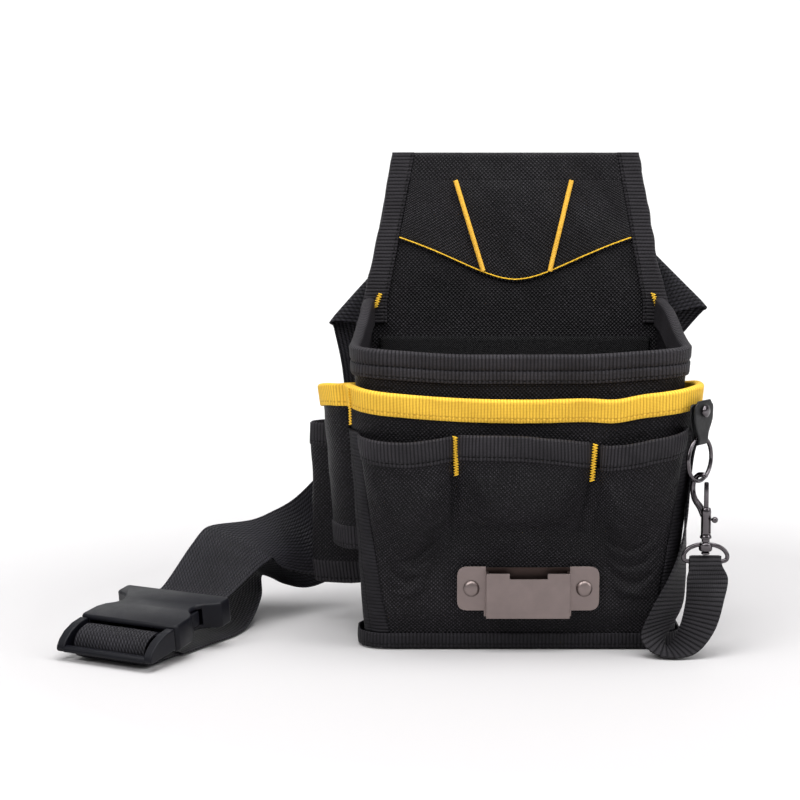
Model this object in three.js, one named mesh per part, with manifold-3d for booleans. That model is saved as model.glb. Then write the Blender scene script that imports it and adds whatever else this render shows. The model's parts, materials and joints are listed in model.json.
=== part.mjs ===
// Electrician tool pouch on a waist belt: a bag with a tall back panel, an outer pocket with a yellow
// binding, three front pockets, two side sleeves, a steel tape clip, a snap hook on a tape strap, and a
// 50 mm belt with a side-release buckle. Millimetres, +Z up, front towards -Y, origin at the base's centre.
import * as THREE from 'three';
import { mergeVertices } from 'three/addons/utils/BufferGeometryUtils.js';
import Module from 'manifold-3d';

// Driving dimensions
const GAP = 0.35; // clearance between neighbouring pieces
const FABRIC = 1.6; // coated fabric, turned and sewn
const TAPE = 1.3; // binding tape on one face
const PAD = 2.4; // foam-backed body fabric
const WEBBING = 1.8; // belt and strap webbing
const RIM_HEIGHT = 180; // height at which the rim outline is given
const BASE_HALF_WIDTH = 90.5;
const RIM_HALF_WIDTH = 100;
const BASE_FRONT = -44; // outer face of the front panel at the base
const RIM_FRONT = -57;
const WALL_BACK = 42; // rear edge of the side gussets
const BACK_BOTTOM_HALF = 90;
const BACK_RIM_HALF = 91.5;
const BACK_THICKNESS = 4;
const BACK_TOP = 291.3;
const BACK_TOP_HALF = 75;
const BACK_SHOULDER = 200; // height at which the back panel starts to taper
const FLOOR_CLEARANCE = 2; // body walls start this far above the ground
const BASE_PANEL = 1.6;
const YELLOW_HEIGHT = 13.5;

const colours = {
  polyester: [0x17161a, 0.85, 0],
  tape: [0x1d1c21, 0.8, 0],
  yellow: [0xf2b01e, 0.7, 0],
  piping: [0xf59e1b, 0.6, 0],
  steel: [0x8e8583, 0.35, 1],
  backing: [0x4a3f3e, 0.5, 1],
  gunmetal: [0x6f6c70, 0.25, 1],
  plastic: [0x1b1d26, 0.45, 0],
  board: [0x2a2a2c, 0.7, 0],
};

const wasm = await Module();
wasm.setup();

const pouch = new THREE.Group();

function addPart(name, geometry, colour, parent = pouch) {
  const [color, roughness, metalness] = colours[colour];
  const material = new THREE.MeshStandardMaterial({ color, roughness, metalness });
  const mesh = new THREE.Mesh(geometry, material);
  mesh.name = name;
  parent.add(mesh);
  return mesh;
}

// Small mathematics
const vec = (x, y, z) => new THREE.Vector3(x, y, z);
const mix = (a, b, t) => a + (b - a) * t;
const smooth = (a, b, x) => THREE.MathUtils.smoothstep(x, a, b);
const bell = (t) => Math.sin(Math.PI * THREE.MathUtils.clamp(t, 0, 1));

// A closed geometry from vertices and triangles, turned to face outwards.
function closed(points, faces) {
  let volume = 0;
  for (const [a, b, c] of faces) {
    volume += points[a].dot(points[b].clone().cross(points[c]));
  }
  const position = [];
  for (const [a, b, c] of faces) {
    for (const i of volume > 0 ? [a, b, c] : [a, c, b]) position.push(...points[i].toArray());
  }
  const geometry = new THREE.BufferGeometry();
  geometry.setAttribute('position', new THREE.Float32BufferAttribute(position, 3));
  return geometry;
}

// A solid layer: at(u, v, face) gives its inner (face 0) and outer (face 1) surface.
function layer(nu, nv, at) {
  const points = [];
  const faces = [];
  const index = (i, j, face) => (face * (nv + 1) + j) * (nu + 1) + i;
  for (let face = 0; face < 2; face++) {
    for (let j = 0; j <= nv; j++) {
      for (let i = 0; i <= nu; i++) points.push(at(i / nu, j / nv, face));
    }
  }
  const quad = (a, b, c, d) => faces.push([a, b, c], [a, c, d]);
  for (let j = 0; j < nv; j++) {
    for (let i = 0; i < nu; i++) {
      quad(index(i, j, 1), index(i + 1, j, 1), index(i + 1, j + 1, 1), index(i, j + 1, 1));
      quad(index(i, j, 0), index(i, j + 1, 0), index(i + 1, j + 1, 0), index(i + 1, j, 0));
    }
  }
  for (let i = 0; i < nu; i++) {
    quad(index(i, 0, 0), index(i + 1, 0, 0), index(i + 1, 0, 1), index(i, 0, 1));
    quad(index(i, nv, 1), index(i + 1, nv, 1), index(i + 1, nv, 0), index(i, nv, 0));
  }
  for (let j = 0; j < nv; j++) {
    quad(index(0, j, 1), index(0, j + 1, 1), index(0, j + 1, 0), index(0, j, 0));
    quad(index(nu, j, 0), index(nu, j + 1, 0), index(nu, j + 1, 1), index(nu, j, 1));
  }
  return closed(points, faces);
}

// A solid through rings of points, with end caps triangulated on the plane outline of the section.
function loft(rings, outline) {
  const count = outline.length;
  const points = rings.flat();
  const faces = [];
  for (let k = 0; k + 1 < rings.length; k++) {
    for (let i = 0; i < count; i++) {
      const j = (i + 1) % count;
      const low = k * count;
      const high = low + count;
      faces.push([low + i, low + j, high + j], [low + i, high + j, high + i]);
    }
  }
  const flat = outline.map(([x, y]) => new THREE.Vector2(x, y));
  const cap = THREE.ShapeUtils.triangulateShape(flat, []);
  const turned = THREE.ShapeUtils.area(flat) < 0;
  const last = (rings.length - 1) * count;
  for (const [a, b, c] of cap) {
    const [p, q] = turned ? [b, c] : [c, b];
    faces.push([a, p, q], [last + a, last + q, last + p]);
  }
  return closed(points, faces);
}

// Webbing through pairs of edge points, smoothed along both edges.
function ribbon(pairs, steps, thickness = WEBBING) {
  const edge = (side) => new THREE.CatmullRomCurve3(pairs.map((pair) => vec(...pair[side])));
  const [left, right] = [edge(0), edge(1)];
  const rings = [];
  for (let k = 0; k <= steps; k++) {
    const t = k / steps;
    const [a, b] = [left.getPoint(t), right.getPoint(t)];
    const along = left.getTangent(t).add(right.getTangent(t));
    const normal = along.cross(b.clone().sub(a)).normalize().multiplyScalar(thickness / 2);
    rings.push([a.clone().add(normal), b.clone().add(normal), b.clone().sub(normal), a.clone().sub(normal)]);
  }
  return loft(rings, [[0, 1], [1, 1], [1, 0], [0, 0]]);
}

// Joining and cutting
function toSolid(geometry) {
  const bare = geometry.index ? geometry.toNonIndexed() : geometry.clone();
  bare.deleteAttribute('normal');
  bare.deleteAttribute('uv');
  const merged = mergeVertices(bare, 1e-4);
  return new wasm.Manifold(new wasm.Mesh({
    numProp: 3,
    vertProperties: merged.attributes.position.array,
    triVerts: new Uint32Array(merged.index.array),
  }));
}

function fromSolid(solid) {
  const mesh = solid.getMesh();
  const geometry = new THREE.BufferGeometry();
  geometry.setAttribute('position', new THREE.BufferAttribute(mesh.vertProperties, 3));
  geometry.setIndex(new THREE.BufferAttribute(mesh.triVerts, 1));
  return geometry.toNonIndexed();
}

const join = (...pieces) => fromSolid(pieces.map(toSolid).reduce((a, b) => a.add(b)));
function cut(piece, ...tools) {
  return fromSolid(tools.map(toSolid).reduce((a, b) => a.subtract(b), toSolid(piece)));
}

// Simple shapes
function block(x0, x1, y0, y1, z0, z1) {
  return new THREE.BoxGeometry(x1 - x0, y1 - y0, z1 - z0)
    .translate((x0 + x1) / 2, (y0 + y1) / 2, (z0 + z1) / 2);
}

// An outline in the x-z plane, given depth along y from y0 to y1.
function plate(shape, y0, y1) {
  return new THREE.ExtrudeGeometry(shape, { depth: y1 - y0, bevelEnabled: false, curveSegments: 5 })
    .rotateX(Math.PI / 2).translate(0, y1, 0);
}

function polygon(points) {
  return new THREE.Shape(points.map(([x, y]) => new THREE.Vector2(x, y)));
}

// A round bar along y (towards the front) from y0 to y1.
const pin = (x, z, radius, y0, y1, sides = 14) => new THREE.CylinderGeometry(radius, radius, y1 - y0, sides)
  .translate(x, (y0 + y1) / 2, z);

// The body's plan outline at height z: straight front, round corners, straight sides that narrow to the back.
function outlineAt(z) {
  const t = Math.max(z, 0) / RIM_HEIGHT;
  return {
    half: mix(BASE_HALF_WIDTH, RIM_HALF_WIDTH, t ** 1.6),
    front: mix(BASE_FRONT, RIM_FRONT, t),
    corner: mix(10, 26, t),
    back: mix(BACK_BOTTOM_HALF, BACK_RIM_HALF, t),
  };
}

// Distance along the outline from the front's centre to the rear edge of a side.
function reach(z) {
  const { half, front, corner } = outlineAt(z);
  return half - corner + (Math.PI / 2) * corner + (WALL_BACK - front - corner);
}

// A point at distance d along the outline (negative to the left), height z, and out from the body's face.
function wall(d, z, out) {
  const { half, front, corner, back } = outlineAt(z);
  const side = Math.sign(d) || 1;
  const length = Math.abs(d);
  const straight = half - corner;
  const arc = (Math.PI / 2) * corner;
  if (length <= straight) return vec(side * length, front - out, z);
  if (length <= straight + arc) {
    const angle = (length - straight) / corner;
    const radius = corner + out;
    return vec(side * (straight + radius * Math.sin(angle)), front + corner - radius * Math.cos(angle), z);
  }
  const run = length - straight - arc;
  const whole = WALL_BACK - front - corner;
  return vec(side * (mix(half, back, run / whole) + out), front + corner + run, z);
}

// How far round a corner a distance is: 0 on the front, 1 on a side.
function turn(d, z) {
  const { half, corner } = outlineAt(z);
  return smooth(half - corner, half - corner + (Math.PI / 2) * corner, Math.abs(d));
}

// Inner face of the outer pocket: it leans out from the front, and its right corner flares at the top.
function panelOut(d, z) {
  const lean = mix(7.0, 2.0, turn(d, z)) * (z / 140);
  const flare = 4.5 * smooth(118, 148, z) * smooth(78, 104, d) * (1 - smooth(122, 150, d));
  return 0.9 + lean + flare;
}

const panelFace = (d, z) => panelOut(d, z) + FABRIC;

// Height of the rim's top edge, the yellow binding's top edge and the front pockets' top edges.
const rimTop = (d) => 178.4 + 3.2 * smooth(30, 95, Math.abs(d)) + 21 * smooth(100, 190, Math.abs(d)) ** 1.3;
function yellowTop(d) {
  const rise = 6.5 * Math.min(Math.abs(d) / 97, 1) ** 2;
  const sag = 1.8 * Math.exp(-(((d - 54) / 12) ** 2));
  const backwards = d < 0 ? 6 * smooth(100, 150, -d) : 4 * smooth(112, 150, d);
  return 152.8 + rise - sag - backwards;
}

// Base
function baseOutline(out, inset = 0) {
  const points = [];
  const end = reach(0);
  for (let i = 0; i <= 40; i++) {
    const p = wall(mix(-end, end, i / 40), 0, out);
    points.push([p.x, p.y]);
  }
  points.push([BACK_BOTTOM_HALF - inset, WALL_BACK + (inset ? -inset : 4.8)]);
  points.push([-BACK_BOTTOM_HALF + inset, WALL_BACK + (inset ? -inset : 4.8)]);
  return polygon(points);
}

function base() {
  const flat = (shape, z0, z1) => new THREE.ExtrudeGeometry(shape, { depth: z1 - z0, bevelEnabled: false })
    .translate(0, 0, z0);
  addPart('base_panel', flat(baseOutline(3.6), 0, BASE_PANEL), 'polyester');
  addPart('base_board', flat(baseOutline(-PAD - 1, 4), BASE_PANEL + GAP, BASE_PANEL + GAP + 2.4), 'board');
}

// Body walls: a front panel and two side gussets, seamed on the round corners.
function body() {
  const seam = (z) => outlineAt(z).half - outlineAt(z).corner * 0.3;
  const wallTop = (d) => rimTop(d) - 2.2;
  const panel = (from, to, nu) => layer(nu, 6, (u, v, face) => {
    const guess = mix(from(90), to(90), u);
    const z = mix(FLOOR_CLEARANCE, wallTop(guess), v);
    return wall(mix(from(z), to(z), u), z, face ? 0 : -PAD);
  });
  const end = (z) => reach(z) - GAP;
  addPart('front_panel', panel((z) => -seam(z), seam, 20), 'polyester');
  addPart('side_gusset_left', panel((z) => -end(z), (z) => -seam(z) - GAP, 9), 'polyester');
  addPart('side_gusset_right', panel((z) => seam(z) + GAP, end, 9), 'polyester');
}

// A binding folded over an edge: a channel whose slot holds a panel from its inner to its outer face.
function edgeChannel(stations, faces, top, height) {
  const slack = GAP + 0.35;
  const section = (d, edge) => {
    const low = edge - height;
    const slot = edge - TAPE;
    return [[-1, low, TAPE], [-1, low, 0], [-1, slot, 0], [1, slot, 0], [1, low, 0], [1, low, TAPE],
      [1, edge, TAPE], [-1, edge, TAPE]].map(([side, z, extra]) => {
      const [inner, outer] = faces(d, z);
      return [side < 0 ? inner - slack - extra : outer + slack + extra, z];
    });
  };
  const rings = stations.map((d) => section(d, top(d)).map(([out, z]) => wall(d, z, out)));
  return loft(rings, section(stations[0], top(stations[0])));
}

const evenly = (from, to, steps) => Array.from({ length: steps + 1 }, (_, k) => mix(from, to, k / steps));

function rim() {
  const end = reach(190) - 1;
  addPart('rim_binding', edgeChannel(evenly(-end, end, 44), () => [-PAD, 0], rimTop, 17), 'tape');
}

// Left side sleeves: open tubes that stand out from the side.
const SLEEVE_COLUMNS = 16;
const SLEEVE_FRONT = { from: () => -152, to: () => -107.2, low: 70, depth: 15.5 };
const SLEEVE_REAR = { from: (z) => 2 - reach(z), to: () => -154, low: 38, high: 113, depth: 29.5 };

function sleeveOut(shape, u, d, z) {
  const start = 2 * GAP + panelFace(-107, z);
  return start + shape.depth * bell(u) ** 0.55;
}

function sleeveLayer(shape, low, high, thickness, rows) {
  return layer(SLEEVE_COLUMNS, rows, (u, v, face) => {
    const z = mix(low(u), high(u), v);
    const d = mix(shape.from(z), shape.to(z), u);
    return wall(d, z, sleeveOut(shape, u, d, z) + face * thickness);
  });
}

function sleeves() {
  const front = SLEEVE_FRONT;
  const rear = SLEEVE_REAR;
  const frontTop = (u) => yellowTop(mix(front.from(), front.to(), u)) - TAPE - GAP;
  const level = (z) => () => z;
  const edge = FABRIC + 0.8;
  addPart('side_sleeve_front', sleeveLayer(front, level(front.low), frontTop, FABRIC, 4), 'polyester');
  addPart('sleeve_front_hem', sleeveLayer(front, level(57), level(front.low - GAP), edge, 1), 'tape');
  addPart('side_sleeve_rear', sleeveLayer(rear, level(rear.low), level(rear.high), FABRIC, 4), 'polyester');
  addPart('sleeve_rear_hem', sleeveLayer(rear, level(25.5), level(rear.low - GAP), edge, 1), 'tape');
  const cuff = sleeveLayer(rear, level(rear.high + GAP), level(rear.high + 13), edge, 1);
  addPart('sleeve_rear_binding', cuff, 'tape');
}

// Outer pocket panel across the front and round to the right side, with the yellow binding on its top edge.
const PANEL_LEFT = -106.6;
const PANEL_RIGHT = 150;
const PANEL_COLUMNS = 34;

function outerPocket() {
  addPart('outer_pocket_panel', layer(PANEL_COLUMNS, 9, (u, v, face) => {
    const d = mix(PANEL_LEFT, PANEL_RIGHT, u);
    const z = mix(FLOOR_CLEARANCE, yellowTop(d) - TAPE - GAP, v ** 0.8);
    return wall(d, z, face ? panelFace(d, z) : panelOut(d, z));
  }), 'polyester');
  const sleeve = SLEEVE_FRONT;
  const faces = (d, z) => {
    if (d >= PANEL_LEFT) return [panelOut(d, z), panelFace(d, z)];
    const u = (d - sleeve.from()) / (sleeve.to() - sleeve.from());
    const inner = sleeveOut(sleeve, u, d, z);
    return [inner, inner + FABRIC];
  };
  const stations = [
    ...evenly(sleeve.from(), sleeve.to(), SLEEVE_COLUMNS),
    ...evenly(PANEL_LEFT, PANEL_RIGHT, PANEL_COLUMNS),
  ];
  addPart('yellow_binding', edgeChannel(stations, faces, yellowTop, YELLOW_HEIGHT), 'yellow');
}

// Front pockets: each bulges between its side seams, with a binding on its top edge.
const cornerLine = (z) => mix(84, 100, z / 145);
const POCKETS = {
  left: {
    from: (z) => -cornerLine(z) + 7,
    to: () => -40.6,
    top: (t) => 131 - 5.5 * bell(t * 0.8) * (1 - t),
  },
  centre: {
    from: () => -38.4,
    to: () => 40.2,
    top: (t) => 131.6 - 4.6 * t ** 2 + 1.5 * bell(t),
  },
  right: {
    from: () => 45.4,
    to: (z) => cornerLine(z) - 7,
    top: (t) => 125.4 + 9.5 * t ** 1.5,
  },
};
const POCKET_DEPTH = 11; // how far an open pocket stands out at its mouth
const POCKET_BINDING = 14;

function pocketOut(t, z, d) {
  const fullness = smooth(54, 110, z);
  const seat = 0.06 * Math.max(52 - z, 0) * smooth(12, 26, z); // steepens the face where the clip lies
  return panelFace(d, z) + GAP + seat + POCKET_DEPTH * fullness * bell(t) ** 0.6;
}

function pocketLayer(pocket, low, high, thickness, lift, nu, nv) {
  return layer(nu, nv, (u, v, face) => {
    const z = mix(low(u), high(u), v);
    const d = mix(pocket.from(z), pocket.to(z), u);
    return wall(d, z, pocketOut(u, z, d) + lift + face * thickness);
  });
}

const CLIP_RIVETS = [-29.5, 37.5];
const CLIP_Z = 39;
const CLIP_TILT = 3; // degrees: the clip lies on the leaning pocket
const clipFrame = new THREE.Group();
clipFrame.position.set(0, -54.6, CLIP_Z);
clipFrame.rotation.x = THREE.MathUtils.degToRad(CLIP_TILT);
clipFrame.updateMatrix();
pouch.add(clipFrame);

function frontPockets() {
  const holes = CLIP_RIVETS.map((x) => pin(x, 0, 2.4, -12, 3.4, 12).applyMatrix4(clipFrame.matrix));
  for (const [side, pocket] of Object.entries(POCKETS)) {
    const seamTop = (u) => pocket.top(u) - POCKET_BINDING;
    const fabric = pocketLayer(pocket, () => FLOOR_CLEARANCE, (u) => seamTop(u) - GAP, FABRIC, 0, 12, 6);
    addPart(`front_pocket_${side}`, side === 'centre' ? cut(fabric, ...holes) : fabric, 'polyester');
    const binding = pocketLayer(pocket, seamTop, pocket.top, FABRIC + 1, -0.2, 12, 1);
    addPart(`front_pocket_${side}_binding`, binding, 'tape');
  }
}

// Tape on the two front corner seams and round the bottom edge.
function seamTapes() {
  for (const [name, side] of [['corner_binding_left', -1], ['corner_binding_right', 1]]) {
    addPart(name, layer(3, 8, (u, v, face) => {
      const z = mix(10.6, 132, v);
      const d = side * (cornerLine(z) + mix(-6.4, 6.4, u));
      const over = panelFace(Math.max(d, PANEL_LEFT + 0.6), z);
      return wall(d, z, over + 2 * GAP + face * TAPE);
    }), 'tape');
  }
  const end = reach(5) - 1;
  addPart('bottom_binding', layer(40, 1, (u, v, face) => {
    const d = mix(-end, end, u);
    const z = mix(FLOOR_CLEARANCE, 9.8, v);
    const over = panelFace(d, z) + 3 * GAP + FABRIC + 0.2;
    return wall(d, z, over + face * TAPE);
  }), 'tape');
}

// Back panel and what is sewn to it
const BACK_FRONT = WALL_BACK + GAP;
const BACK_REAR = BACK_FRONT + BACK_THICKNESS;
function sideAt(z) {
  const t = THREE.MathUtils.clamp((z - BACK_SHOULDER) / (BACK_TOP - BACK_SHOULDER), 0, 1);
  return mix(BACK_RIM_HALF + 0.5, BACK_TOP_HALF, t);
}

function backPanel() {
  const outline = [
    [-BACK_BOTTOM_HALF + 2, FLOOR_CLEARANCE], [BACK_BOTTOM_HALF - 2, FLOOR_CLEARANCE],
    [sideAt(BACK_SHOULDER), BACK_SHOULDER], [BACK_TOP_HALF, BACK_TOP],
    [-BACK_TOP_HALF, BACK_TOP], [-sideAt(BACK_SHOULDER), BACK_SHOULDER],
  ];
  addPart('back_panel', plate(polygon(outline), BACK_FRONT, BACK_REAR), 'polyester');

  const innerTop = 178;
  const inner = [[-80, 12], [80, 12], [84, innerTop], [-84, innerTop]];
  const innerPocket = plate(polygon(inner), BACK_FRONT - GAP - FABRIC, BACK_FRONT - GAP);
  addPart('inner_pocket_panel', innerPocket, 'polyester');

  const middle = (BACK_FRONT + BACK_REAR) / 2;
  const half = BACK_THICKNESS / 2 + GAP;
  const hemLow = 276.5;
  const hemHalf = (z) => sideAt(z) - 12.2;
  const hem = (z0, z1, y0, y1) => plate(polygon([
    [-hemHalf(z0), z0], [hemHalf(z0), z0], [hemHalf(z1), z1], [-hemHalf(z1), z1],
  ]), y0, y1);
  addPart('top_hem', join(
    hem(hemLow, BACK_TOP + GAP + TAPE, middle - half - TAPE, middle - half),
    hem(BACK_TOP + GAP, BACK_TOP + GAP + TAPE, middle - half - TAPE, middle + half + TAPE),
    hem(hemLow, BACK_TOP + GAP + TAPE, middle + half, middle + half + TAPE),
  ), 'polyester');

  // Upper panel: its lower edge is the curved seam, low in the middle.
  const seamEnd = 239;
  const seamLow = 212.7;
  const seam = new THREE.Shape();
  const seamHalf = sideAt(seamEnd) - 12.6;
  seam.moveTo(-seamHalf, seamEnd);
  seam.bezierCurveTo(-seamHalf / 2, seamEnd - 12, -20, seamLow + 1, 0, seamLow);
  seam.bezierCurveTo(20, seamLow + 1, seamHalf / 2, seamEnd - 12, seamHalf, seamEnd);
  seam.lineTo(sideAt(hemLow) - 12.6, hemLow - GAP);
  seam.lineTo(-sideAt(hemLow) + 12.6, hemLow - GAP);
  addPart('upper_panel', plate(seam, BACK_FRONT - GAP - TAPE, BACK_FRONT - GAP), 'polyester');

  // Pipings: half-round cords that lean in towards the middle.
  const face = BACK_FRONT - 2 * GAP - TAPE;
  for (const [name, top, low] of [['piping_left', -37.5, -20], ['piping_right', 34.5, 21.5]]) {
    const ends = [vec(low, face, 220.5), vec(top, face, hemLow - 1)];
    const along = ends[1].clone().sub(ends[0]).normalize();
    const across = along.clone().cross(vec(0, -1, 0));
    const round = [[-1.8, 0], [-1.5, 1.1], [-0.6, 1.9], [0.6, 1.9], [1.5, 1.1], [1.8, 0]];
    const rings = ends.map((end) => round.map(([a, b]) => end.clone()
      .addScaledVector(across, a).add(vec(0, -b, 0))));
    addPart(name, loft(rings, round), 'piping');
  }

  // Edge bindings: channels over the panel's slanted edges.
  const section = [
    [-12, -half], [-12, -half - TAPE], [GAP + TAPE, -half - TAPE], [GAP + TAPE, half + TAPE],
    [-12, half + TAPE], [-12, half], [GAP, half], [GAP, -half],
  ];
  for (const [name, side] of [['edge_binding_left', -1], ['edge_binding_right', 1]]) {
    const rings = [rimTop(190) + 1.5, BACK_SHOULDER + 6, BACK_TOP + GAP + TAPE].map((z) => {
      const edge = sideAt(z);
      return section.map(([a, b]) => vec(side * (edge + a), middle + b, z));
    });
    addPart(name, loft(rings, section), 'tape');
  }

  // Belt tunnel: a panel sewn along its top and bottom edges.
  const tunnel = [
    [BACK_REAR + GAP, 176], [BACK_REAR + GAP + 5.6, 178], [BACK_REAR + GAP + 5.6, 242],
    [BACK_REAR + GAP, 244], [BACK_REAR + GAP, 238], [BACK_REAR + GAP + 4, 237],
    [BACK_REAR + GAP + 4, 183], [BACK_REAR + GAP, 182],
  ];
  const rings = [-46, 46].map((x) => tunnel.map(([y, z]) => vec(x, y, z)));
  addPart('belt_tunnel', loft(rings, tunnel), 'polyester');
}

// Tape clip: a stamped plate whose raised middle leaves a slot, on a backing plate, with two rivets.
function tapeClip() {
  const [low, high] = [-13.5, 13.5];
  const [left, right] = [-38, 46.5];
  const [stepLeft, stepRight] = [-21, 29];
  const steel = 1.2;
  const backing = -0.4; // rear face of the backing plate
  const front = backing - 0.9 - GAP; // rear face of the wings
  const raised = front - 5.3;
  const wing = (outer, inner) => {
    const side = Math.sign(outer - inner);
    const radius = 6;
    const shape = new THREE.Shape();
    shape.moveTo(inner, low);
    shape.lineTo(outer - side * radius, low);
    shape.quadraticCurveTo(outer, low, outer, low + radius);
    shape.lineTo(outer, high - radius);
    shape.quadraticCurveTo(outer, high, outer - side * radius, high);
    shape.lineTo(inner, high);
    return plate(shape, front - steel, front);
  };
  const hat = [
    [stepLeft - 1, front], [stepLeft + 1.6, front], [stepLeft + 1.6, raised], [stepRight - 1.6, raised],
    [stepRight - 1.6, front], [stepRight + 1, front], [stepRight + 1, front - steel],
    [stepRight - 0.2, front - steel], [stepRight - 0.2, raised - steel], [stepLeft + 0.2, raised - steel],
    [stepLeft + 0.2, front - steel], [stepLeft - 1, front - steel],
  ];
  const middle = new THREE.ExtrudeGeometry(polygon(hat), { depth: 27.5, bevelEnabled: false })
    .translate(0, 0, low - 3.6);
  const holes = CLIP_RIVETS.map((x) => pin(x, 0, 2.4, -20, 5, 12));
  const notch = block(-7, 15.5, raised - 5, raised + 0.5, 7, 20);
  const whole = join(wing(left, stepLeft), wing(right, stepRight), middle);
  addPart('tape_clip_plate', cut(whole, notch, ...holes), 'steel', clipFrame);

  const sheet = plate(polygon([[left + 3, low + 3], [right - 3, low + 3], [right - 3, high - 1],
    [left + 3, high - 1]]), backing - 0.9, backing);
  addPart('clip_backing_plate', cut(sheet, ...holes), 'backing', clipFrame);

  const head = steel - front + GAP;
  const profile = [
    [0, -1.6], [2, -1.6], [2, head], [4.6, head], [4.6, head + 0.7], [3.6, head + 1.5], [0, head + 1.9],
  ];
  CLIP_RIVETS.forEach((x, i) => {
    const outline = profile.map(([r, h]) => new THREE.Vector2(r, h));
    const rivet = new THREE.LatheGeometry(outline, 16).rotateX(Math.PI);
    addPart(i ? 'clip_rivet_right' : 'clip_rivet_left', rivet.translate(x, 0, 0), 'steel', clipFrame);
  });
}

// Hanger: a tab on the yellow binding's right front corner, a ring in its fold, and the snap hook.
const FACING = vec(0.788, -0.616, 0); // the tab faces out of the right front corner
const ACROSS = vec(0.616, 0.788, 0);
const HANGER = vec(103.6, -54.6, 0);
const RING_TOP = 129.5;
const RING_RADIUS = 13;
const RING_WIRE = 1.25;
const RING_FACING = 1.85; // the ring's plane, out from the hanger's origin
const HOOK_OFFSET = 5; // from the ring's plane to the hook's axis

const hangerPoint = (facing, across, z) => HANGER.clone()
  .addScaledVector(FACING, facing).addScaledVector(ACROSS, across).setZ(z);

function hanger() {
  // The tab's section runs down the outer leg, round the fold and up the inner leg.
  const fold = RING_TOP - 1.6;
  const path = [[4.1, 151.5], [3.9, 140], [3.7, 133]];
  for (let i = 0; i <= 6; i++) {
    const angle = (Math.PI * i) / 6;
    path.push([RING_FACING + 2.1 * Math.cos(angle), fold - 2.4 * Math.sin(angle)]);
  }
  path.push([0.4, 133], [0.9, 140], [1.1, 149.5]);
  const curve = new THREE.CatmullRomCurve3(path.map(([a, z]) => vec(a, 0, z)));
  const tab = layer(4, 18, (u, v, face) => {
    const p = curve.getPoint(v);
    const tangent = curve.getTangent(v);
    const normal = vec(-tangent.z, 0, tangent.x);
    p.addScaledVector(normal, (face - 0.5) * 1.2);
    const width = mix(11, 20, smooth(126, 142, p.z));
    return hangerPoint(p.x, (u - 0.5) * width, p.z);
  });
  const turnToTab = (geometry) => geometry.rotateZ(Math.atan2(FACING.y, FACING.x) + Math.PI / 2);
  const place = (geometry, facing, z) => {
    const p = hangerPoint(facing, 0, z);
    return turnToTab(geometry).translate(p.x, p.y, p.z);
  };
  const hole = place(pin(0, 0, 1.9, -8, 8, 12), 2.4, 145.5);
  addPart('hanger_tab', cut(tab, hole), 'tape');
  const profile = [
    [0, 0], [2.8, 0], [2.8, 0.6], [1.5, 0.6], [1.5, 6], [3.6, 6], [3.5, 6.9], [2, 7.6], [0, 7.7],
  ];
  const outline = profile.map(([r, h]) => new THREE.Vector2(r, h));
  const rivet = new THREE.LatheGeometry(outline, 14).rotateX(Math.PI);
  addPart('hanger_rivet', place(rivet, -0.7, 145.5), 'gunmetal');

  const ring = new THREE.TorusGeometry(RING_RADIUS, RING_WIRE, 8, 28).rotateX(Math.PI / 2);
  addPart('clip_ring', place(ring, RING_FACING, RING_TOP - RING_RADIUS), 'gunmetal');
}

// Snap hook, in its own frame: +X across the hook's opening, away from the bag; +Z up its axis.
const wire = (points, radius, steps, sides = 8) => {
  const curve = new THREE.CatmullRomCurve3(points.map((p) => vec(...p)));
  const circle = new THREE.Shape().absarc(0, 0, radius, 0, 2 * Math.PI);
  return new THREE.ExtrudeGeometry(circle, { steps, curveSegments: sides, extrudePath: curve });
};
const lathe = (profile, sides = 14) => new THREE.LatheGeometry(
  profile.map(([r, z]) => new THREE.Vector2(r, z)), sides).rotateX(Math.PI / 2);

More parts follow.
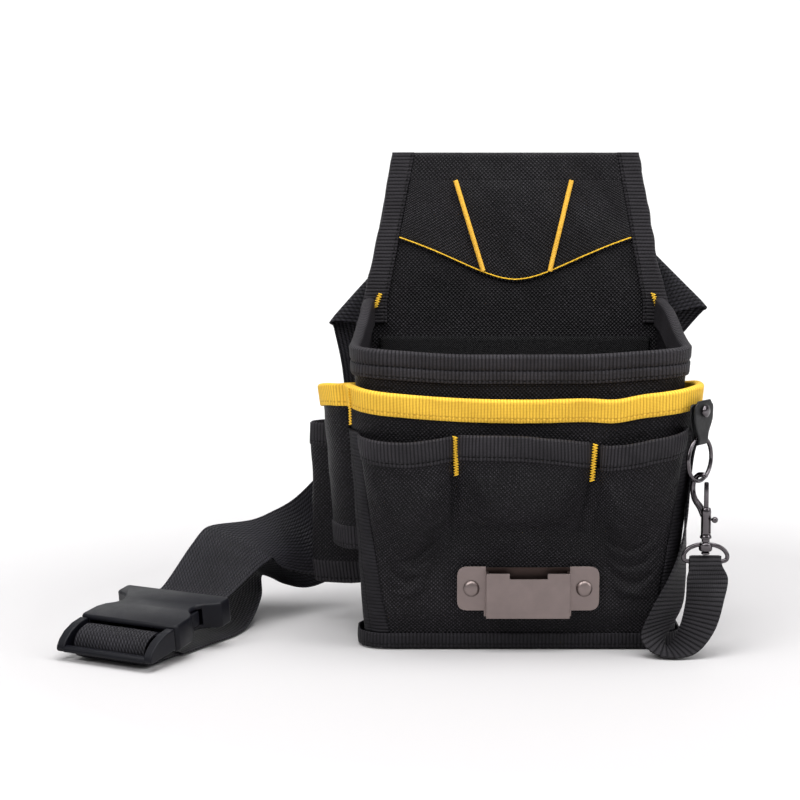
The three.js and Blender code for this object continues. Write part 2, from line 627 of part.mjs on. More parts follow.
function snapHook() {
  const axis = hangerPoint(RING_FACING + HOOK_OFFSET, 0, 0);
  const hook = new THREE.Group();
  hook.position.copy(axis);
  hook.rotation.z = Math.atan2(FACING.y, FACING.x);
  pouch.add(hook);

  const arm = wire([
    [-1.4, 0, 83], [-4, 0, 87.6], [-8, 0, 92.4], [-9.3, 0, 97.5],
    [-8.7, 0, 103], [-5.6, 0, 106.9], [-1.9, 0, 107.2], [-0.3, 0, 105.9],
  ], 1.5, 22);
  const tube = lathe([[0, 69.5], [3.3, 69.5], [3.5, 70.5], [2.9, 71.5], [2.9, 86.5], [2.6, 88], [0, 88]]);
  const shank = lathe([
    [0, 59.9], [2.5, 59.9], [2.5, 61.3], [1.5, 61.6], [1.5, 67.4], [2.4, 67.4], [2.4, 70], [0, 70],
  ], 12);
  const bore = lathe([[0, 72], [1.75, 72], [1.75, 95], [0, 95]], 12);
  const slot = block(0, 6, -1.1, 1.1, 73, 83.5);
  addPart('hook_body', cut(join(arm, tube, shank), bore, slot), 'gunmetal', hook);

  const rod = lathe([[0, 79.5], [1.4, 79.5], [1.4, 102.6], [1.1, 103.4], [0, 103.4]], 10);
  const stem = lathe([[0, 0], [0.8, 0], [0.8, 5], [0, 5]], 8).rotateY(Math.PI / 2).translate(0, 0, 81.3);
  const ball = new THREE.SphereGeometry(1.9, 10, 8).translate(6, 0, 81.3);
  addPart('hook_bolt', join(rod, stem, ball), 'gunmetal', hook);
  const spring = lathe([[0, 72.4], [1.3, 72.4], [1.3, 79.1], [0, 79.1]], 8);
  addPart('bolt_spring', spring, 'gunmetal', hook);

  // Swivel eye: a D of wire under a drilled boss, square to the hook's opening as it hangs.
  const eye = new THREE.Group();
  eye.position.copy(axis);
  pouch.add(eye);
  const bar = 55.5;
  const half = 13;
  const side = new THREE.CatmullRomCurve3([
    vec(-half + 3.5, 0, bar), vec(-half + 0.6, 0, bar + 1.1), vec(-half, 0, bar + 3.6),
    vec(-half + 2.4, 0, bar + 7.4), vec(-6.4, 0, bar + 9.6), vec(-3, 0, bar + 10.3),
  ]);
  const circle = new THREE.Shape().absarc(0, 0, 1.3, 0, 2 * Math.PI);
  const limb = (sign) => {
    const path = new THREE.CatmullRomCurve3(side.getPoints(9).map((p) => vec(sign * p.x, 0, p.z)));
    return new THREE.ExtrudeGeometry(circle, { steps: 12, curveSegments: 8, extrudePath: path });
  };
  const straight = lathe([[0, -half + 3], [1.3, -half + 3], [1.3, half - 3], [0, half - 3]], 8)
    .rotateY(Math.PI / 2).translate(0, 0, bar);
  const boss = lathe([[0, 62], [3.6, 62], [4, 63], [4, 66], [3.6, 67], [0, 67]], 14);
  const drilled = lathe([[0, 56.8], [1.85, 56.8], [1.85, 70], [0, 70]], 12);
  addPart('swivel_eye', cut(join(limb(-1), limb(1), straight, boss), drilled), 'gunmetal', eye);
}

// Tape strap: it is sewn round the swivel eye's bar, hangs in a loop and goes up the bag's right side.
function tapeStrap() {
  const { x, y } = hangerPoint(RING_FACING + HOOK_OFFSET, 0, 0);
  const pairs = [
    [[x - 9.4, y + 3.4, 46], [x + 9.4, y + 3.4, 46]],
    [[x - 9.4, y + 3.2, 54.5], [x + 9.4, y + 3.2, 54.5]],
    [[x - 9.4, y, 58.6], [x + 9.4, y, 58.6]],
    [[x - 9.4, y - 3.2, 54.5], [x + 9.4, y - 3.2, 54.5]],
    [[x - 11.2, y - 4, 46], [x + 13, y - 4.4, 46.5]],
    [[97.8, -59.5, 33], [119, -69.5, 34]],
    [[95.8, -56, 18.5], [113, -73, 16.5]],
    [[91.5, -54.5, 7.5], [101.5, -76, 3.8]],
    [[87, -53.8, 3.4], [88, -77.5, 2]],
    [[86.5, -54, 8], [76.5, -74.5, 4.4]],
    [[91, -52.5, 16], [70.8, -68.5, 12]],
    [[97, -48, 27], [78, -64.5, 29]],
    [[101.5, -40, 41], [89.5, -61.5, 46]],
    [[104, -31.5, 56], [97.6, -55, 61]],
    [[103.8, -28, 76], [101.4, -52.2, 79]],
    [[103.4, -25, 100], [103, -49, 100]],
    [[104.4, -21, 118], [103.8, -45.5, 118]],
    [[109.5, -19, 134], [107.6, -43.5, 134]],
  ];
  addPart('tape_strap', ribbon(pairs, 60, 1.5), 'tape');
}

// Waist belt. Each station gives the two edges of the webbing; each run starts in the middle of the tunnel.
const BELT_LEFT = [
  [[-0.3, 48.9, 235], [-0.3, 48.9, 185]],
  [[-44, 48.9, 235], [-44, 48.9, 185]],
  [[-62, 50, 234.5], [-88, 50.5, 185.5]],
  [[-72.5, 50.6, 233], [-114.5, 51.3, 187]],
  [[-74.5, 53.6, 231.6], [-116.5, 54.3, 185.4]],
  [[-72.5, 56.6, 229.6], [-114.5, 57.4, 183.6]],
  [[-66, 58, 200], [-113, 59, 178]],
  [[-59.5, 59, 152], [-108.5, 60, 155]],
  [[-58, 60, 115], [-107, 61, 125]],
  [[-68, 61, 77], [-112, 62, 101]],
  [[-92, 61, 50], [-124, 63, 87]],
  [[-119.5, 55, 25.5], [-140, 64, 71]],
  [[-140.5, 32, 30.5], [-153, 64, 63]],
  [[-148, 26, 35], [-166, 62, 57.5]],
  [[-152, 27, 39.5], [-193, 52, 53]],
  [[-160, 10, 36.5], [-203.5, 33, 47]],
  [[-175.4, -19.4, 26], [-219.2, 4.8, 26]],
  [[-180.7, -28.9, 23], [-224.5, -4.7, 23]],
  [[-186.9, -40.2, 21.2], [-230.7, -16, 21.2]],
];
const BELT_RIGHT = [
  [[0.3, 48.9, 235], [0.3, 48.9, 185]],
  [[46, 48.9, 236], [46, 48.9, 186]],
  [[66, 50, 238], [92, 50.5, 191]],
  [[77.5, 50.6, 238], [119.5, 51.3, 196.5]],
  [[79.5, 53.6, 236.4], [121.5, 54.3, 194.6]],
  [[77.5, 56.6, 234.4], [119.5, 57.4, 192.6]],
  [[64, 60, 204], [105, 61, 175]],
  [[40, 64, 172], [76, 65, 137]],
  [[5, 67, 140], [35, 68, 100]],
  [[-40, 70, 113], [-14, 71, 70]],
  [[-85, 72, 92], [-66, 72, 46]],
  [[-118, 75, 71], [-106, 72, 22]],
  [[-143, 77, 57], [-130, 62, 13.5]],
  [[-170, 78, 41], [-146, 48, 19]],
  [[-196, 68, 22], [-159, 38, 27]],
  [[-204, 46, 9], [-159, 24, 17]],
  [[-209, 26, 3], [-165, 3, 4]],
];

// Side-release buckle, in its own frame: +X across, +Y from the adjuster end to the sewn end, +Z up.
const BUCKLE = { position: vec(-242.4, -88.7, 4.2), yaw: -29, tilt: 8 };
const BUCKLE_THICKNESS = 15.6;

function belt() {
  addPart('belt_left_run', ribbon(BELT_LEFT, 84), 'tape');
  const buckle = new THREE.Group();
  buckle.rotation.set(
    THREE.MathUtils.degToRad(BUCKLE.tilt), 0, THREE.MathUtils.degToRad(BUCKLE.yaw), 'ZXY');
  buckle.position.copy(BUCKLE.position);
  pouch.add(buckle);
  buckle.updateMatrixWorld(true);

  // The right run ends on the ground beneath the buckle.
  const ground = (along) => {
    const yaw = THREE.MathUtils.degToRad(BUCKLE.yaw);
    const centre = BUCKLE.position.clone().setZ(1.6)
      .add(vec(-Math.sin(yaw) * along, Math.cos(yaw) * along, 0));
    const across = vec(Math.cos(yaw), Math.sin(yaw), 0);
    return [-23, 27].map((a) => centre.clone().addScaledVector(across, a).toArray());
  };
  const rest = [96, 80, 64, 50, 38].map(ground);
  addPart('belt_right_run', ribbon([...BELT_RIGHT, ...rest], 96), 'tape');

  female(buckle);
  male(buckle);
}

function female(buckle) {
  const outline = new THREE.Shape();
  const half = [
    [0, 22.5], [33, 22.5], [34.5, 25], [34, 38], [31.5, 44], [27, 48], [25.2, 52],
    [25.6, 57], [29, 61], [34.5, 63.5], [37.6, 66], [37.6, 75], [36, 77], [0, 77],
  ];
  outline.moveTo(...half[0]);
  half.slice(1).forEach(([x, y]) => outline.lineTo(x, y));
  half.slice(1, -1).reverse().forEach(([x, y]) => outline.lineTo(-x, y));
  const housing = new THREE.ExtrudeGeometry(outline, {
    depth: BUCKLE_THICKNESS - 3, bevelEnabled: true, bevelThickness: 1.5, bevelSize: 1.2, bevelOffset: -1.2,
    bevelSegments: 2,
  }).translate(0, 0, 1.5);
  const cavity = block(-27.6, 27.6, 20, 62, 2.8, 12.8);
  const strapSlot = block(-26.2, 26.2, 66, 80, 4.8, 9.6);
  addPart('buckle_female', cut(housing, cavity, strapSlot), 'plastic', buckle);
}

function male(buckle) {
  // Side arms taper down from the mouth to the end bar.
  const arm = (side) => {
    const profile = [[-3.5, 1.8], [-3.8, 4], [-1, 8], [5, 11.6], [13, 13.8], [22, 14.4], [22, 1.8]];
    const shape = polygon(profile);
    const low = side < 0 ? -33.8 : 26.8;
    return new THREE.ExtrudeGeometry(shape, { depth: 7, bevelEnabled: false })
      .applyMatrix4(new THREE.Matrix4().set(0, 0, 1, low, 1, 0, 0, 0, 0, 1, 0, 0, 0, 0, 0, 1));
  };
  const endBar = block(-30, 30, -3.2, 0.4, 1.9, 5.2);
  const innerBar = block(-30, 30, 8.5, 12, 2.2, 8.4);
  const bridge = block(-30, 30, 18, 21.9, 3.2, 12.4);
  const guide = block(-5, 5, 21, 56, 5.4, 10.2);
  const roots = [-1, 1].map((side) => block(side < 0 ? -24 : 16.5, side < 0 ? -16.5 : 24, 21, 25, 4.2, 11.6));
  addPart('buckle_male', join(arm(-1), arm(1), endBar, innerBar, bridge, guide, ...roots), 'plastic', buckle);

  // Prongs: sprung legs whose pads show in the housing's side windows.
  for (const [name, side] of [['prong_left', -1], ['prong_right', 1]]) {
    const leg = [[17.2, 25.7], [23, 25.7], [23.6, 40], [26.2, 47], [26.9, 52], [26.9, 57.5], [24, 60.4],
      [19.4, 60.4], [18.6, 54], [19.4, 44], [17.2, 36]];
    const points = side < 0 ? leg.map(([x, y]) => [-x, y]).reverse() : leg;
    const prong = new THREE.ExtrudeGeometry(polygon(points), { depth: 8.6, bevelEnabled: false });
    addPart(name, prong.translate(0, 0, 3.5), 'plastic', buckle);
  }

  // Adjuster end: the webbing from below the buckle, up behind the end bar and over the inner bar.
  const side = [
    [37, -7.8], [22, -5.7], [8, -3.7], [4.4, -2], [3.6, 1.2],
    [4.1, 5], [6, 8], [9, 9.9], [12.4, 10.8], [16, 11.4],
  ];
  const pairs = side.map(([y, z]) => [-23.5, 23.5].map((x) => [x, y, z]));
  addPart('belt_adjuster_end', ribbon(pairs, 34, 1.6), 'tape', buckle);
}

base();
body();
rim();
outerPocket();
sleeves();
frontPockets();
seamTapes();
backPanel();
tapeClip();
hanger();
snapHook();
tapeStrap();
belt();

export default pouch;
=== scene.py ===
import json
import math

import bmesh
import bpy
from mathutils import Matrix, Vector, noise

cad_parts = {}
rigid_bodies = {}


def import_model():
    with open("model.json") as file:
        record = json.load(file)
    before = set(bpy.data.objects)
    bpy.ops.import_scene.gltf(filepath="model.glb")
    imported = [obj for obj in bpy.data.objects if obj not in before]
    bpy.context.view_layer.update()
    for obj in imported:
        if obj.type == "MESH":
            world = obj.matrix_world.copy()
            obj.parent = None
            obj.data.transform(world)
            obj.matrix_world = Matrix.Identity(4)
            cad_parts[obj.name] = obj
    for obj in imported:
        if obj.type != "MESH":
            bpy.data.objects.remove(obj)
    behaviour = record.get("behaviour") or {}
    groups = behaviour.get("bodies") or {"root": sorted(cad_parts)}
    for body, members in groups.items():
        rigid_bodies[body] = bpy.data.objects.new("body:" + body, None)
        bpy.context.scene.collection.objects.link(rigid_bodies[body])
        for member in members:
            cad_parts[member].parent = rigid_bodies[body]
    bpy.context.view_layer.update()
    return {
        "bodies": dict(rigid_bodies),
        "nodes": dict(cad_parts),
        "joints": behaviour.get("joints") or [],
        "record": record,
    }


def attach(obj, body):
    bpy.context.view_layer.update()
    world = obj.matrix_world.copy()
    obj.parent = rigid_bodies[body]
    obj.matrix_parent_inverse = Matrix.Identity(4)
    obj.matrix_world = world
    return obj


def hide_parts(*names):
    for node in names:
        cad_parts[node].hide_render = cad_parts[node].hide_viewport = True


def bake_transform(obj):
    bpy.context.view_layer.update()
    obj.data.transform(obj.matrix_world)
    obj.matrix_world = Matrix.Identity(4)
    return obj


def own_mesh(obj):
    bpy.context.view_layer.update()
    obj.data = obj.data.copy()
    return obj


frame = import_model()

MM = 0.001

# Camera
camera = bpy.data.objects.new("camera", bpy.data.cameras.new("camera"))
camera.location = (-0.0719, -1.4656, 0.3499)
camera.rotation_euler = (math.radians(82), 0, 0)
camera.data.lens = 108.9
camera.data.sensor_width = 36
bpy.context.scene.collection.objects.link(camera)
bpy.context.scene.camera = camera
bpy.context.scene.view_settings.view_transform = "Standard"


# ---------------------------------------------------------------- small mathematics
def mix(a, b, t):
    return a + (b - a) * t


def clamp(x, low=0.0, high=1.0):
    return min(max(x, low), high)


def smooth(a, b, x):
    t = clamp((x - a) / (b - a))
    return t * t * (3 - 2 * t)


def bell(t):
    return math.sin(math.pi * clamp(t))


def bump_at(x, centre, width):
    return math.exp(-(((x - centre) / width) ** 2))


def wavy(x, y, size, seed):
    """Smooth noise from -1 to 1 whose swells are about size across."""
    return noise.noise(Vector((x / size, y / size, seed)))


def spline(points, t):
    """Centripetal Catmull-Rom through points, the curve the CAD webbing follows."""
    count = len(points)
    place = (count - 1) * clamp(t)
    i = min(int(place), count - 2)
    w = place - i
    p1, p2 = points[i], points[i + 1]
    p0 = points[i - 1] if i > 0 else p1 * 2 - p2
    p3 = points[i + 2] if i + 2 < count else p2 * 2 - p1
    d0, d1, d2 = (max((b - a).length_squared ** 0.25, 1e-4) for a, b in ((p0, p1), (p1, p2), (p2, p3)))
    t1 = ((p1 - p0) / d0 - (p2 - p0) / (d0 + d1) + (p2 - p1) / d1) * d1
    t2 = ((p2 - p1) / d1 - (p3 - p1) / (d1 + d2) + (p3 - p2) / d2) * d1
    c2 = (p2 - p1) * 3 - t1 * 2 - t2
    c3 = (p1 - p2) * 2 + t1 + t2
    return p1 + t1 * w + c2 * w * w + c3 * w * w * w


# ---------------------------------------------------------------- materials
class Shader:
    """A node material on one Principled shader. UV coordinates are in metres."""

    def __init__(self, name, **constants):
        self.material = bpy.data.materials.new(name)
        self.material.use_nodes = True
        self.tree = self.material.node_tree
        self.tree.nodes.clear()
        self.shader = self.node("ShaderNodeBsdfPrincipled", **constants)
        out = self.node("ShaderNodeOutputMaterial")
        self.tree.links.new(self.shader.outputs[0], out.inputs["Surface"])

    def node(self, kind, settings=None, **inputs):
        made = self.tree.nodes.new(kind)
        for key, value in (settings or {}).items():
            setattr(made, key, value)
        for key, value in inputs.items():
            self.plug(made.inputs[key.replace("_", " ")], value)
        return made

    def plug(self, socket, value):
        if isinstance(value, bpy.types.NodeSocket):
            self.tree.links.new(value, socket)
        else:
            socket.default_value = value

    def math(self, operation, *values):
        made = self.node("ShaderNodeMath", {"operation": operation})
        for socket, value in zip(made.inputs, values):
            self.plug(socket, value)
        return made.outputs[0]

    def coords(self, kind="UV"):
        return self.node("ShaderNodeTexCoord").outputs[kind]

    def axes(self, vector):
        return self.node("ShaderNodeSeparateXYZ", Vector=vector).outputs[:3]

    def noise(self, vector, scale, detail=2.0, rough=0.5):
        made = self.node("ShaderNodeTexNoise", Vector=vector, Scale=scale, Detail=detail, Roughness=rough)
        return made.outputs["Fac"]

    def span(self, value, low, high, to_low=0.0, to_high=1.0):
        made = self.node("ShaderNodeMapRange", {"clamp": True}, Value=value)
        for index, number in zip((1, 2, 3, 4), (low, high, to_low, to_high)):
            self.plug(made.inputs[index], number)
        return made.outputs[0]

    def blend(self, factor, first, second):
        made = self.node("ShaderNodeMix", {"data_type": "RGBA"})
        self.plug(made.inputs[0], factor)
        self.plug(made.inputs[6], (*first, 1) if isinstance(first, tuple) else first)
        self.plug(made.inputs[7], (*second, 1) if isinstance(second, tuple) else second)
        return made.outputs[2]

    def bump(self, height, distance, strength):
        made = self.node("ShaderNodeBump", Height=height, Distance=distance, Strength=strength)
        return made.outputs["Normal"]

    def finish(self, **sockets):
        for key, value in sockets.items():
            self.plug(self.shader.inputs[key.replace("_", " ")], value)
        return self.material


def twill(name, dark, light, pitch=1.7, kind="UV"):
    """Coarse coated polyester: rows of yarn crowns on the diagonal, with uneven yarns and faint rub marks."""
    s = Shader(name, Roughness=0.6)
    place = s.coords(kind)
    x, y, z = s.axes(place)
    if kind == "Object":
        x, y = s.math("ADD", x, s.math("MULTIPLY", y, 0.7)), s.math("ADD", z, s.math("MULTIPLY", y, 0.7))
    turn_rate = math.pi / (pitch * MM) * math.sqrt(0.5)
    along = s.math("SINE", s.math("MULTIPLY", s.math("ADD", x, y), turn_rate))
    across = s.math("SINE", s.math("MULTIPLY", s.math("SUBTRACT", x, y), turn_rate))
    crown = s.math("ABSOLUTE", s.math("MULTIPLY", along, across))
    yarn = s.noise(place, 520, 3, 0.6)
    height = s.math("MULTIPLY", crown, s.span(yarn, 0.3, 0.7, 0.45, 1.15))
    cloud = s.noise(place, 22, 3, 0.55)
    tone = s.math("MULTIPLY", height, s.span(cloud, 0.3, 0.7, 0.75, 1.2))
    worn = s.math("ADD", 0.60, s.math("MULTIPLY", cloud, -0.12))
    rough = s.math("SUBTRACT", worn, s.math("MULTIPLY", height, 0.1))
    colour = s.blend(s.math("POWER", tone, 2.1), dark, light)
    normal = s.bump(height, 0.0006, 0.9)
    return s.finish(Base_Color=colour, Roughness=rough, Normal=normal, Specular_IOR_Level=0.16)


def ribbed(name, dark, light, pitch=2.2, depth=0.0008, seams=(), thread=None, rough=0.62):
    """Woven tape with ribs across its length; seams are distances in from the lower edge of its face."""
    s = Shader(name)
    place = s.coords()
    x, y, _ = s.axes(place)
    drift = s.math("MULTIPLY", s.noise(place, 60, 2), 0.0006)
    rib_turns = s.math("MULTIPLY", s.math("ADD", x, drift), math.pi / (pitch * MM))
    rib = s.math("ABSOLUTE", s.math("SINE", rib_turns))
    crown = s.math("POWER", rib, 0.6)
    warp = s.math("ABSOLUTE", s.math("SINE", s.math("MULTIPLY", y, math.pi / (0.9 * MM))))
    grain = s.noise(place, 900, 2, 0.6)
    height = s.math("ADD", s.math("MULTIPLY", crown, 0.7), s.math("MULTIPLY", warp, 0.18))
    height = s.math("ADD", height, s.math("MULTIPLY", grain, 0.2))
    cloud = s.noise(place, 30, 3, 0.55)
    tone = s.math("MULTIPLY", height, s.span(cloud, 0.3, 0.7, 0.8, 1.15))
    colour = s.blend(s.math("POWER", tone, 1.8), dark, light)
    for seam in seams:
        near = s.math("ABSOLUTE", s.math("SUBTRACT", y, seam * MM))
        groove = s.span(near, 0.25 * MM, 0.7 * MM, 1.0, 0.0)
        dash = s.span(s.math("SINE", s.math("MULTIPLY", x, 2 * math.pi / (3.1 * MM))), -0.2, 0.2)
        height = s.math("SUBTRACT", height, s.math("MULTIPLY", groove, s.span(dash, 0, 1, 0.7, 0.1)))
        colour = s.blend(s.math("MULTIPLY", groove, dash), colour, thread or dark)
    normal = s.bump(height, depth, 0.9)
    return s.finish(Base_Color=colour, Roughness=rough, Normal=normal, Specular_IOR_Level=0.16)


def woven(name, dark, light):
    """Belt webbing: warp columns along the length whose floats step sideways from column to column."""
    column_turn, float_turn = math.pi / (2.3 * MM), math.pi / (2.6 * MM)
    s = Shader(name)
    place = s.coords()
    x, y, _ = s.axes(place)
    column = s.math("ABSOLUTE", s.math("SINE", s.math("MULTIPLY", y, column_turn)))
    lean = s.math("ADD", s.math("MULTIPLY", x, float_turn), s.math("MULTIPLY", y, column_turn))
    floats = s.math("ABSOLUTE", s.math("SINE", lean))
    grain = s.noise(place, 800, 2, 0.6)
    height = s.math("ADD", s.math("MULTIPLY", column, 0.45), s.math("MULTIPLY", floats, 0.4))
    height = s.math("ADD", height, s.math("MULTIPLY", grain, 0.25))
    cloud = s.noise(place, 26, 3, 0.55)
    tone = s.math("MULTIPLY", height, s.span(cloud, 0.3, 0.7, 0.75, 1.15))
    rough = s.math("SUBTRACT", 0.62, s.math("MULTIPLY", height, 0.15))
    return s.finish(Base_Color=s.blend(s.math("POWER", tone, 2.2), dark, light), Roughness=rough,
                    Normal=s.bump(height, 0.0009, 0.9), Specular_IOR_Level=0.14)


def cord_thread(name, colour):
    s = Shader(name)
    place = s.coords("Object")
    grain = s.noise(place, 1400, 2, 0.6)
    tint = s.blend(s.span(grain, 0.3, 0.7), tuple(c * 0.72 for c in colour), colour)
    return s.finish(Base_Color=tint, Roughness=s.span(grain, 0.2, 0.8, 0.45, 0.65),
                    Normal=s.bump(grain, 0.00015, 0.8), Specular_IOR_Level=0.3)


def metal(name, colour, rough, wear=0.08, brushed=0.0):
    """Plated metal with fine handling marks; brushed stretches them along x."""
    s = Shader(name, Metallic=1.0)
    place = s.coords("Object")
    stretch = s.node("ShaderNodeMapping", Vector=place)
    stretch.inputs["Scale"].default_value = (1 - 0.9 * brushed, 1, 1)
    fine = s.noise(stretch.outputs[0], 1600, 3, 0.6)
    broad = s.noise(place, 90, 3, 0.6)
    colour_out = s.blend(s.span(broad, 0.3, 0.7), tuple(c * 0.86 for c in colour), colour)
    rough_out = s.math("ADD", s.span(broad, 0.3, 0.7, rough - wear / 2, rough + wear / 2),
                       s.math("MULTIPLY", fine, 0.05))
    return s.finish(Base_Color=colour_out, Roughness=rough_out, Normal=s.bump(fine, 0.00002, 0.6))


def moulded(name, colour):
    """Moulded plastic with fine spark-eroded grain and a little handling polish."""
    s = Shader(name)
    place = s.coords("Object")
    fine = s.noise(place, 2200, 2, 0.6)
    broad = s.noise(place, 60, 3, 0.6)
    tint = s.blend(s.span(broad, 0.3, 0.7), tuple(c * 0.85 for c in colour), tuple(c * 1.15 for c in colour))
    rough_out = s.math("ADD", s.span(broad, 0.3, 0.7, 0.37, 0.47), s.math("MULTIPLY", fine, 0.06))
    return s.finish(Base_Color=tint, Roughness=rough_out, Normal=s.bump(fine, 0.00004, 0.7),
                    Specular_IOR_Level=0.18)


def leather(name, colour):
    s = Shader(name)
    place = s.coords("Object")
    cells = s.node("ShaderNodeTexVoronoi", Vector=place, Scale=1300)
    grain = s.noise(place, 500, 3, 0.6)
    height = s.math("ADD", s.math("MULTIPLY", cells.outputs["Distance"], 0.6), s.math("MULTIPLY", grain, 0.5))
    tint = s.blend(s.span(height, 0.2, 0.8), tuple(c * 0.7 for c in colour), tuple(c * 1.3 for c in colour))
    return s.finish(Base_Color=tint, Roughness=s.span(grain, 0.3, 0.7, 0.4, 0.55),
                    Normal=s.bump(height, 0.00012, 0.7), Specular_IOR_Level=0.3)


BLACK = ((0.0012, 0.0011, 0.0016), (0.042, 0.037, 0.045))
TAPE_BLACK = ((0.0010, 0.0009, 0.0013), (0.034, 0.031, 0.036))
YELLOW = ((0.48, 0.26, 0.024), (0.92, 0.57, 0.062))
fabric = twill("twill_polyester", *BLACK)
fabric_object = twill("twill_polyester_flat", *BLACK, kind="Object")
lining = twill("lining_weave", (0.0025, 0.0024, 0.003), (0.011, 0.0105, 0.0125), pitch=1.0)
tape = ribbed("binding_tape", *TAPE_BLACK, seams=(2.0,))
seam_tape = ribbed("seam_tape", (0.0008, 0.0007, 0.0011), (0.017, 0.0155, 0.019), seams=(2.0,))
rim_weave = ribbed("rim_tape_weave", *TAPE_BLACK, seams=(1.8, 8.0))
yellow_weave = ribbed("yellow_tape_weave", *YELLOW, pitch=1.9, depth=0.00035, seams=(2.6,),
                      thread=(0.52, 0.28, 0.028), rough=0.7)
webbing = woven("belt_webbing", (0.0009, 0.0009, 0.0014), (0.025, 0.0235, 0.030))
strap_weave = ribbed("strap_webbing", (0.001, 0.001, 0.0014), (0.030, 0.028, 0.032), pitch=2.6, depth=0.0009)
yellow_thread = cord_thread("yellow_thread", (0.92, 0.55, 0.032))
piping_cord = cord_thread("piping_cord_weave", (0.96, 0.53, 0.056))
clip_steel = metal("satin_nickel", (0.255, 0.208, 0.199), 0.36, brushed=1.0)
backing_steel = metal("dark_plate", (0.060, 0.042, 0.038), 0.45)
gunmetal = metal("gunmetal_plating", (0.110, 0.100, 0.107), 0.13, wear=0.06)
acetal = moulded("buckle_acetal", (0.0030, 0.0031, 0.0056))
tab_leather = leather("tab_leather", (0.0050, 0.0050, 0.0058))


# ---------------------------------------------------------------- mesh making
def add_piece(name, points, faces, uvs, material, slot, body="pouch", sharp=48):
    """A mesh object from millimetre points; uvs holds one (u, v) in millimetres for each point."""
    mesh = bpy.data.meshes.new(name)
    mesh.from_pydata([tuple(c * MM for c in p) for p in points], [], faces)
    layer = mesh.uv_layers.new(name="UVMap")
    for loop in mesh.loops:
        u, v = uvs[loop.vertex_index]
        layer.data[loop.index].uv = (u * MM, v * MM)
    shell = bmesh.new()
    shell.from_mesh(mesh)
    bmesh.ops.recalc_face_normals(shell, faces=shell.faces)
    shell.to_mesh(mesh)
    shell.free()
    mesh.polygons.foreach_set("use_smooth", [True] * len(mesh.polygons))
    mesh.set_sharp_from_angle(angle=math.radians(sharp))
    mesh.materials.append(material)
    piece = bpy.data.objects.new(name, mesh)
    bpy.context.scene.collection.objects.link(piece)
    if body:
        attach(piece, body)
    return piece


def grid_lengths(rows):
    """For a grid of points, (u, v) at each: distance along its row, and along the middle column."""
    middle = len(rows[0]) // 2
    uvs = []
    rise = 0.0
    for j, row in enumerate(rows):
        if j:
            rise += (row[middle] - rows[j - 1][middle]).length
        run = [0.0]
        for a, b in zip(row, row[1:]):
            run.append(run[-1] + (b - a).length)
        offset = run[middle]
        uvs.extend((r - offset, rise) for r in run)
    return uvs


def layer(name, nu, nv, at, material, slot="polyester", along="u"):
    """A cloth layer with rolled edges: at(u, v, face) is its inner (0) and outer (1) surface."""
    outer = [[at(i / nu, j / nv, 1) for i in range(nu + 1)] for j in range(nv + 1)]
    inner = [[at(i / nu, j / nv, 0) for i in range(nu + 1)] for j in range(nv + 1)]
    points = [p for row in outer for p in row] + [p for row in inner for p in row]
    uvs = grid_lengths(outer)
    if along == "v":
        uvs = [(v, u) for u, v in uvs]
    uvs = uvs + uvs
    count = (nu + 1) * (nv + 1)

    def index(i, j, face):
        return (0 if face else count) + j * (nu + 1) + i

    faces = []
    for j in range(nv):
        for i in range(nu):
            faces.append([index(i, j, 1), index(i + 1, j, 1), index(i + 1, j + 1, 1), index(i, j + 1, 1)])
            faces.append([index(i, j, 0), index(i, j + 1, 0), index(i + 1, j + 1, 0), index(i + 1, j, 0)])
    border = [(i, 0) for i in range(nu)] + [(nu, j) for j in range(nv)]
    border += [(i, nv) for i in range(nu, 0, -1)] + [(0, j) for j in range(nv, 0, -1)]
    # A middle loop along the border, pushed out a little, rolls the edge.
    start = len(points)
    for i, j in border:
        a, b = outer[j][i], inner[j][i]
        inward = outer[min(max(j, 1), nv - 1)][min(max(i, 1), nu - 1)]
        away = (a - inward).normalized() * (a - b).length * 0.4
        points.append((a + b) / 2 + away)
        uvs.append(uvs[index(i, j, 1)])
    total = len(border)
    for k in range(total):
        (i0, j0), (i1, j1) = border[k], border[(k + 1) % total]
        m0, m1 = start + k, start + (k + 1) % total
        faces.append([index(i0, j0, 1), index(i1, j1, 1), m1, m0])
        faces.append([m0, m1, index(i1, j1, 0), index(i0, j0, 0)])
    return add_piece(name, points, faces, uvs, material, slot, sharp=80)


def loft(name, rings, material, slot, body="pouch", around=None, sharp=48):
    """A skin through closed rings of points. around gives the rings' v coordinates."""
    count = len(rings[0])
    points, uvs, faces = [], [], []
    run = 0.0
    for k, ring in enumerate(rings):
        centre = sum(ring, Vector()) / count
        if k:
            run += (centre - last).length
        last = centre
        lengths = around
        if lengths is None:
            lengths = [0.0]
            for a, b in zip(ring, ring[1:]):
                lengths.append(lengths[-1] + (b - a).length)
        points.extend(ring)
        uvs.extend((run, v) for v in lengths)
    for k in range(len(rings) - 1):
        low, high = k * count, (k + 1) * count
        for i in range(count):
            j = (i + 1) % count
            faces.append([low + i, low + j, high + j, high + i])
    for first in (0, (len(rings) - 1) * count):
        points.append(sum(points[first:first + count], Vector()) / count)
        uvs.append(uvs[first])
        hub = len(points) - 1
        faces.extend([first + i, first + (i + 1) % count, hub] for i in range(count))
    return add_piece(name, points, faces, uvs, material, slot, body, sharp)


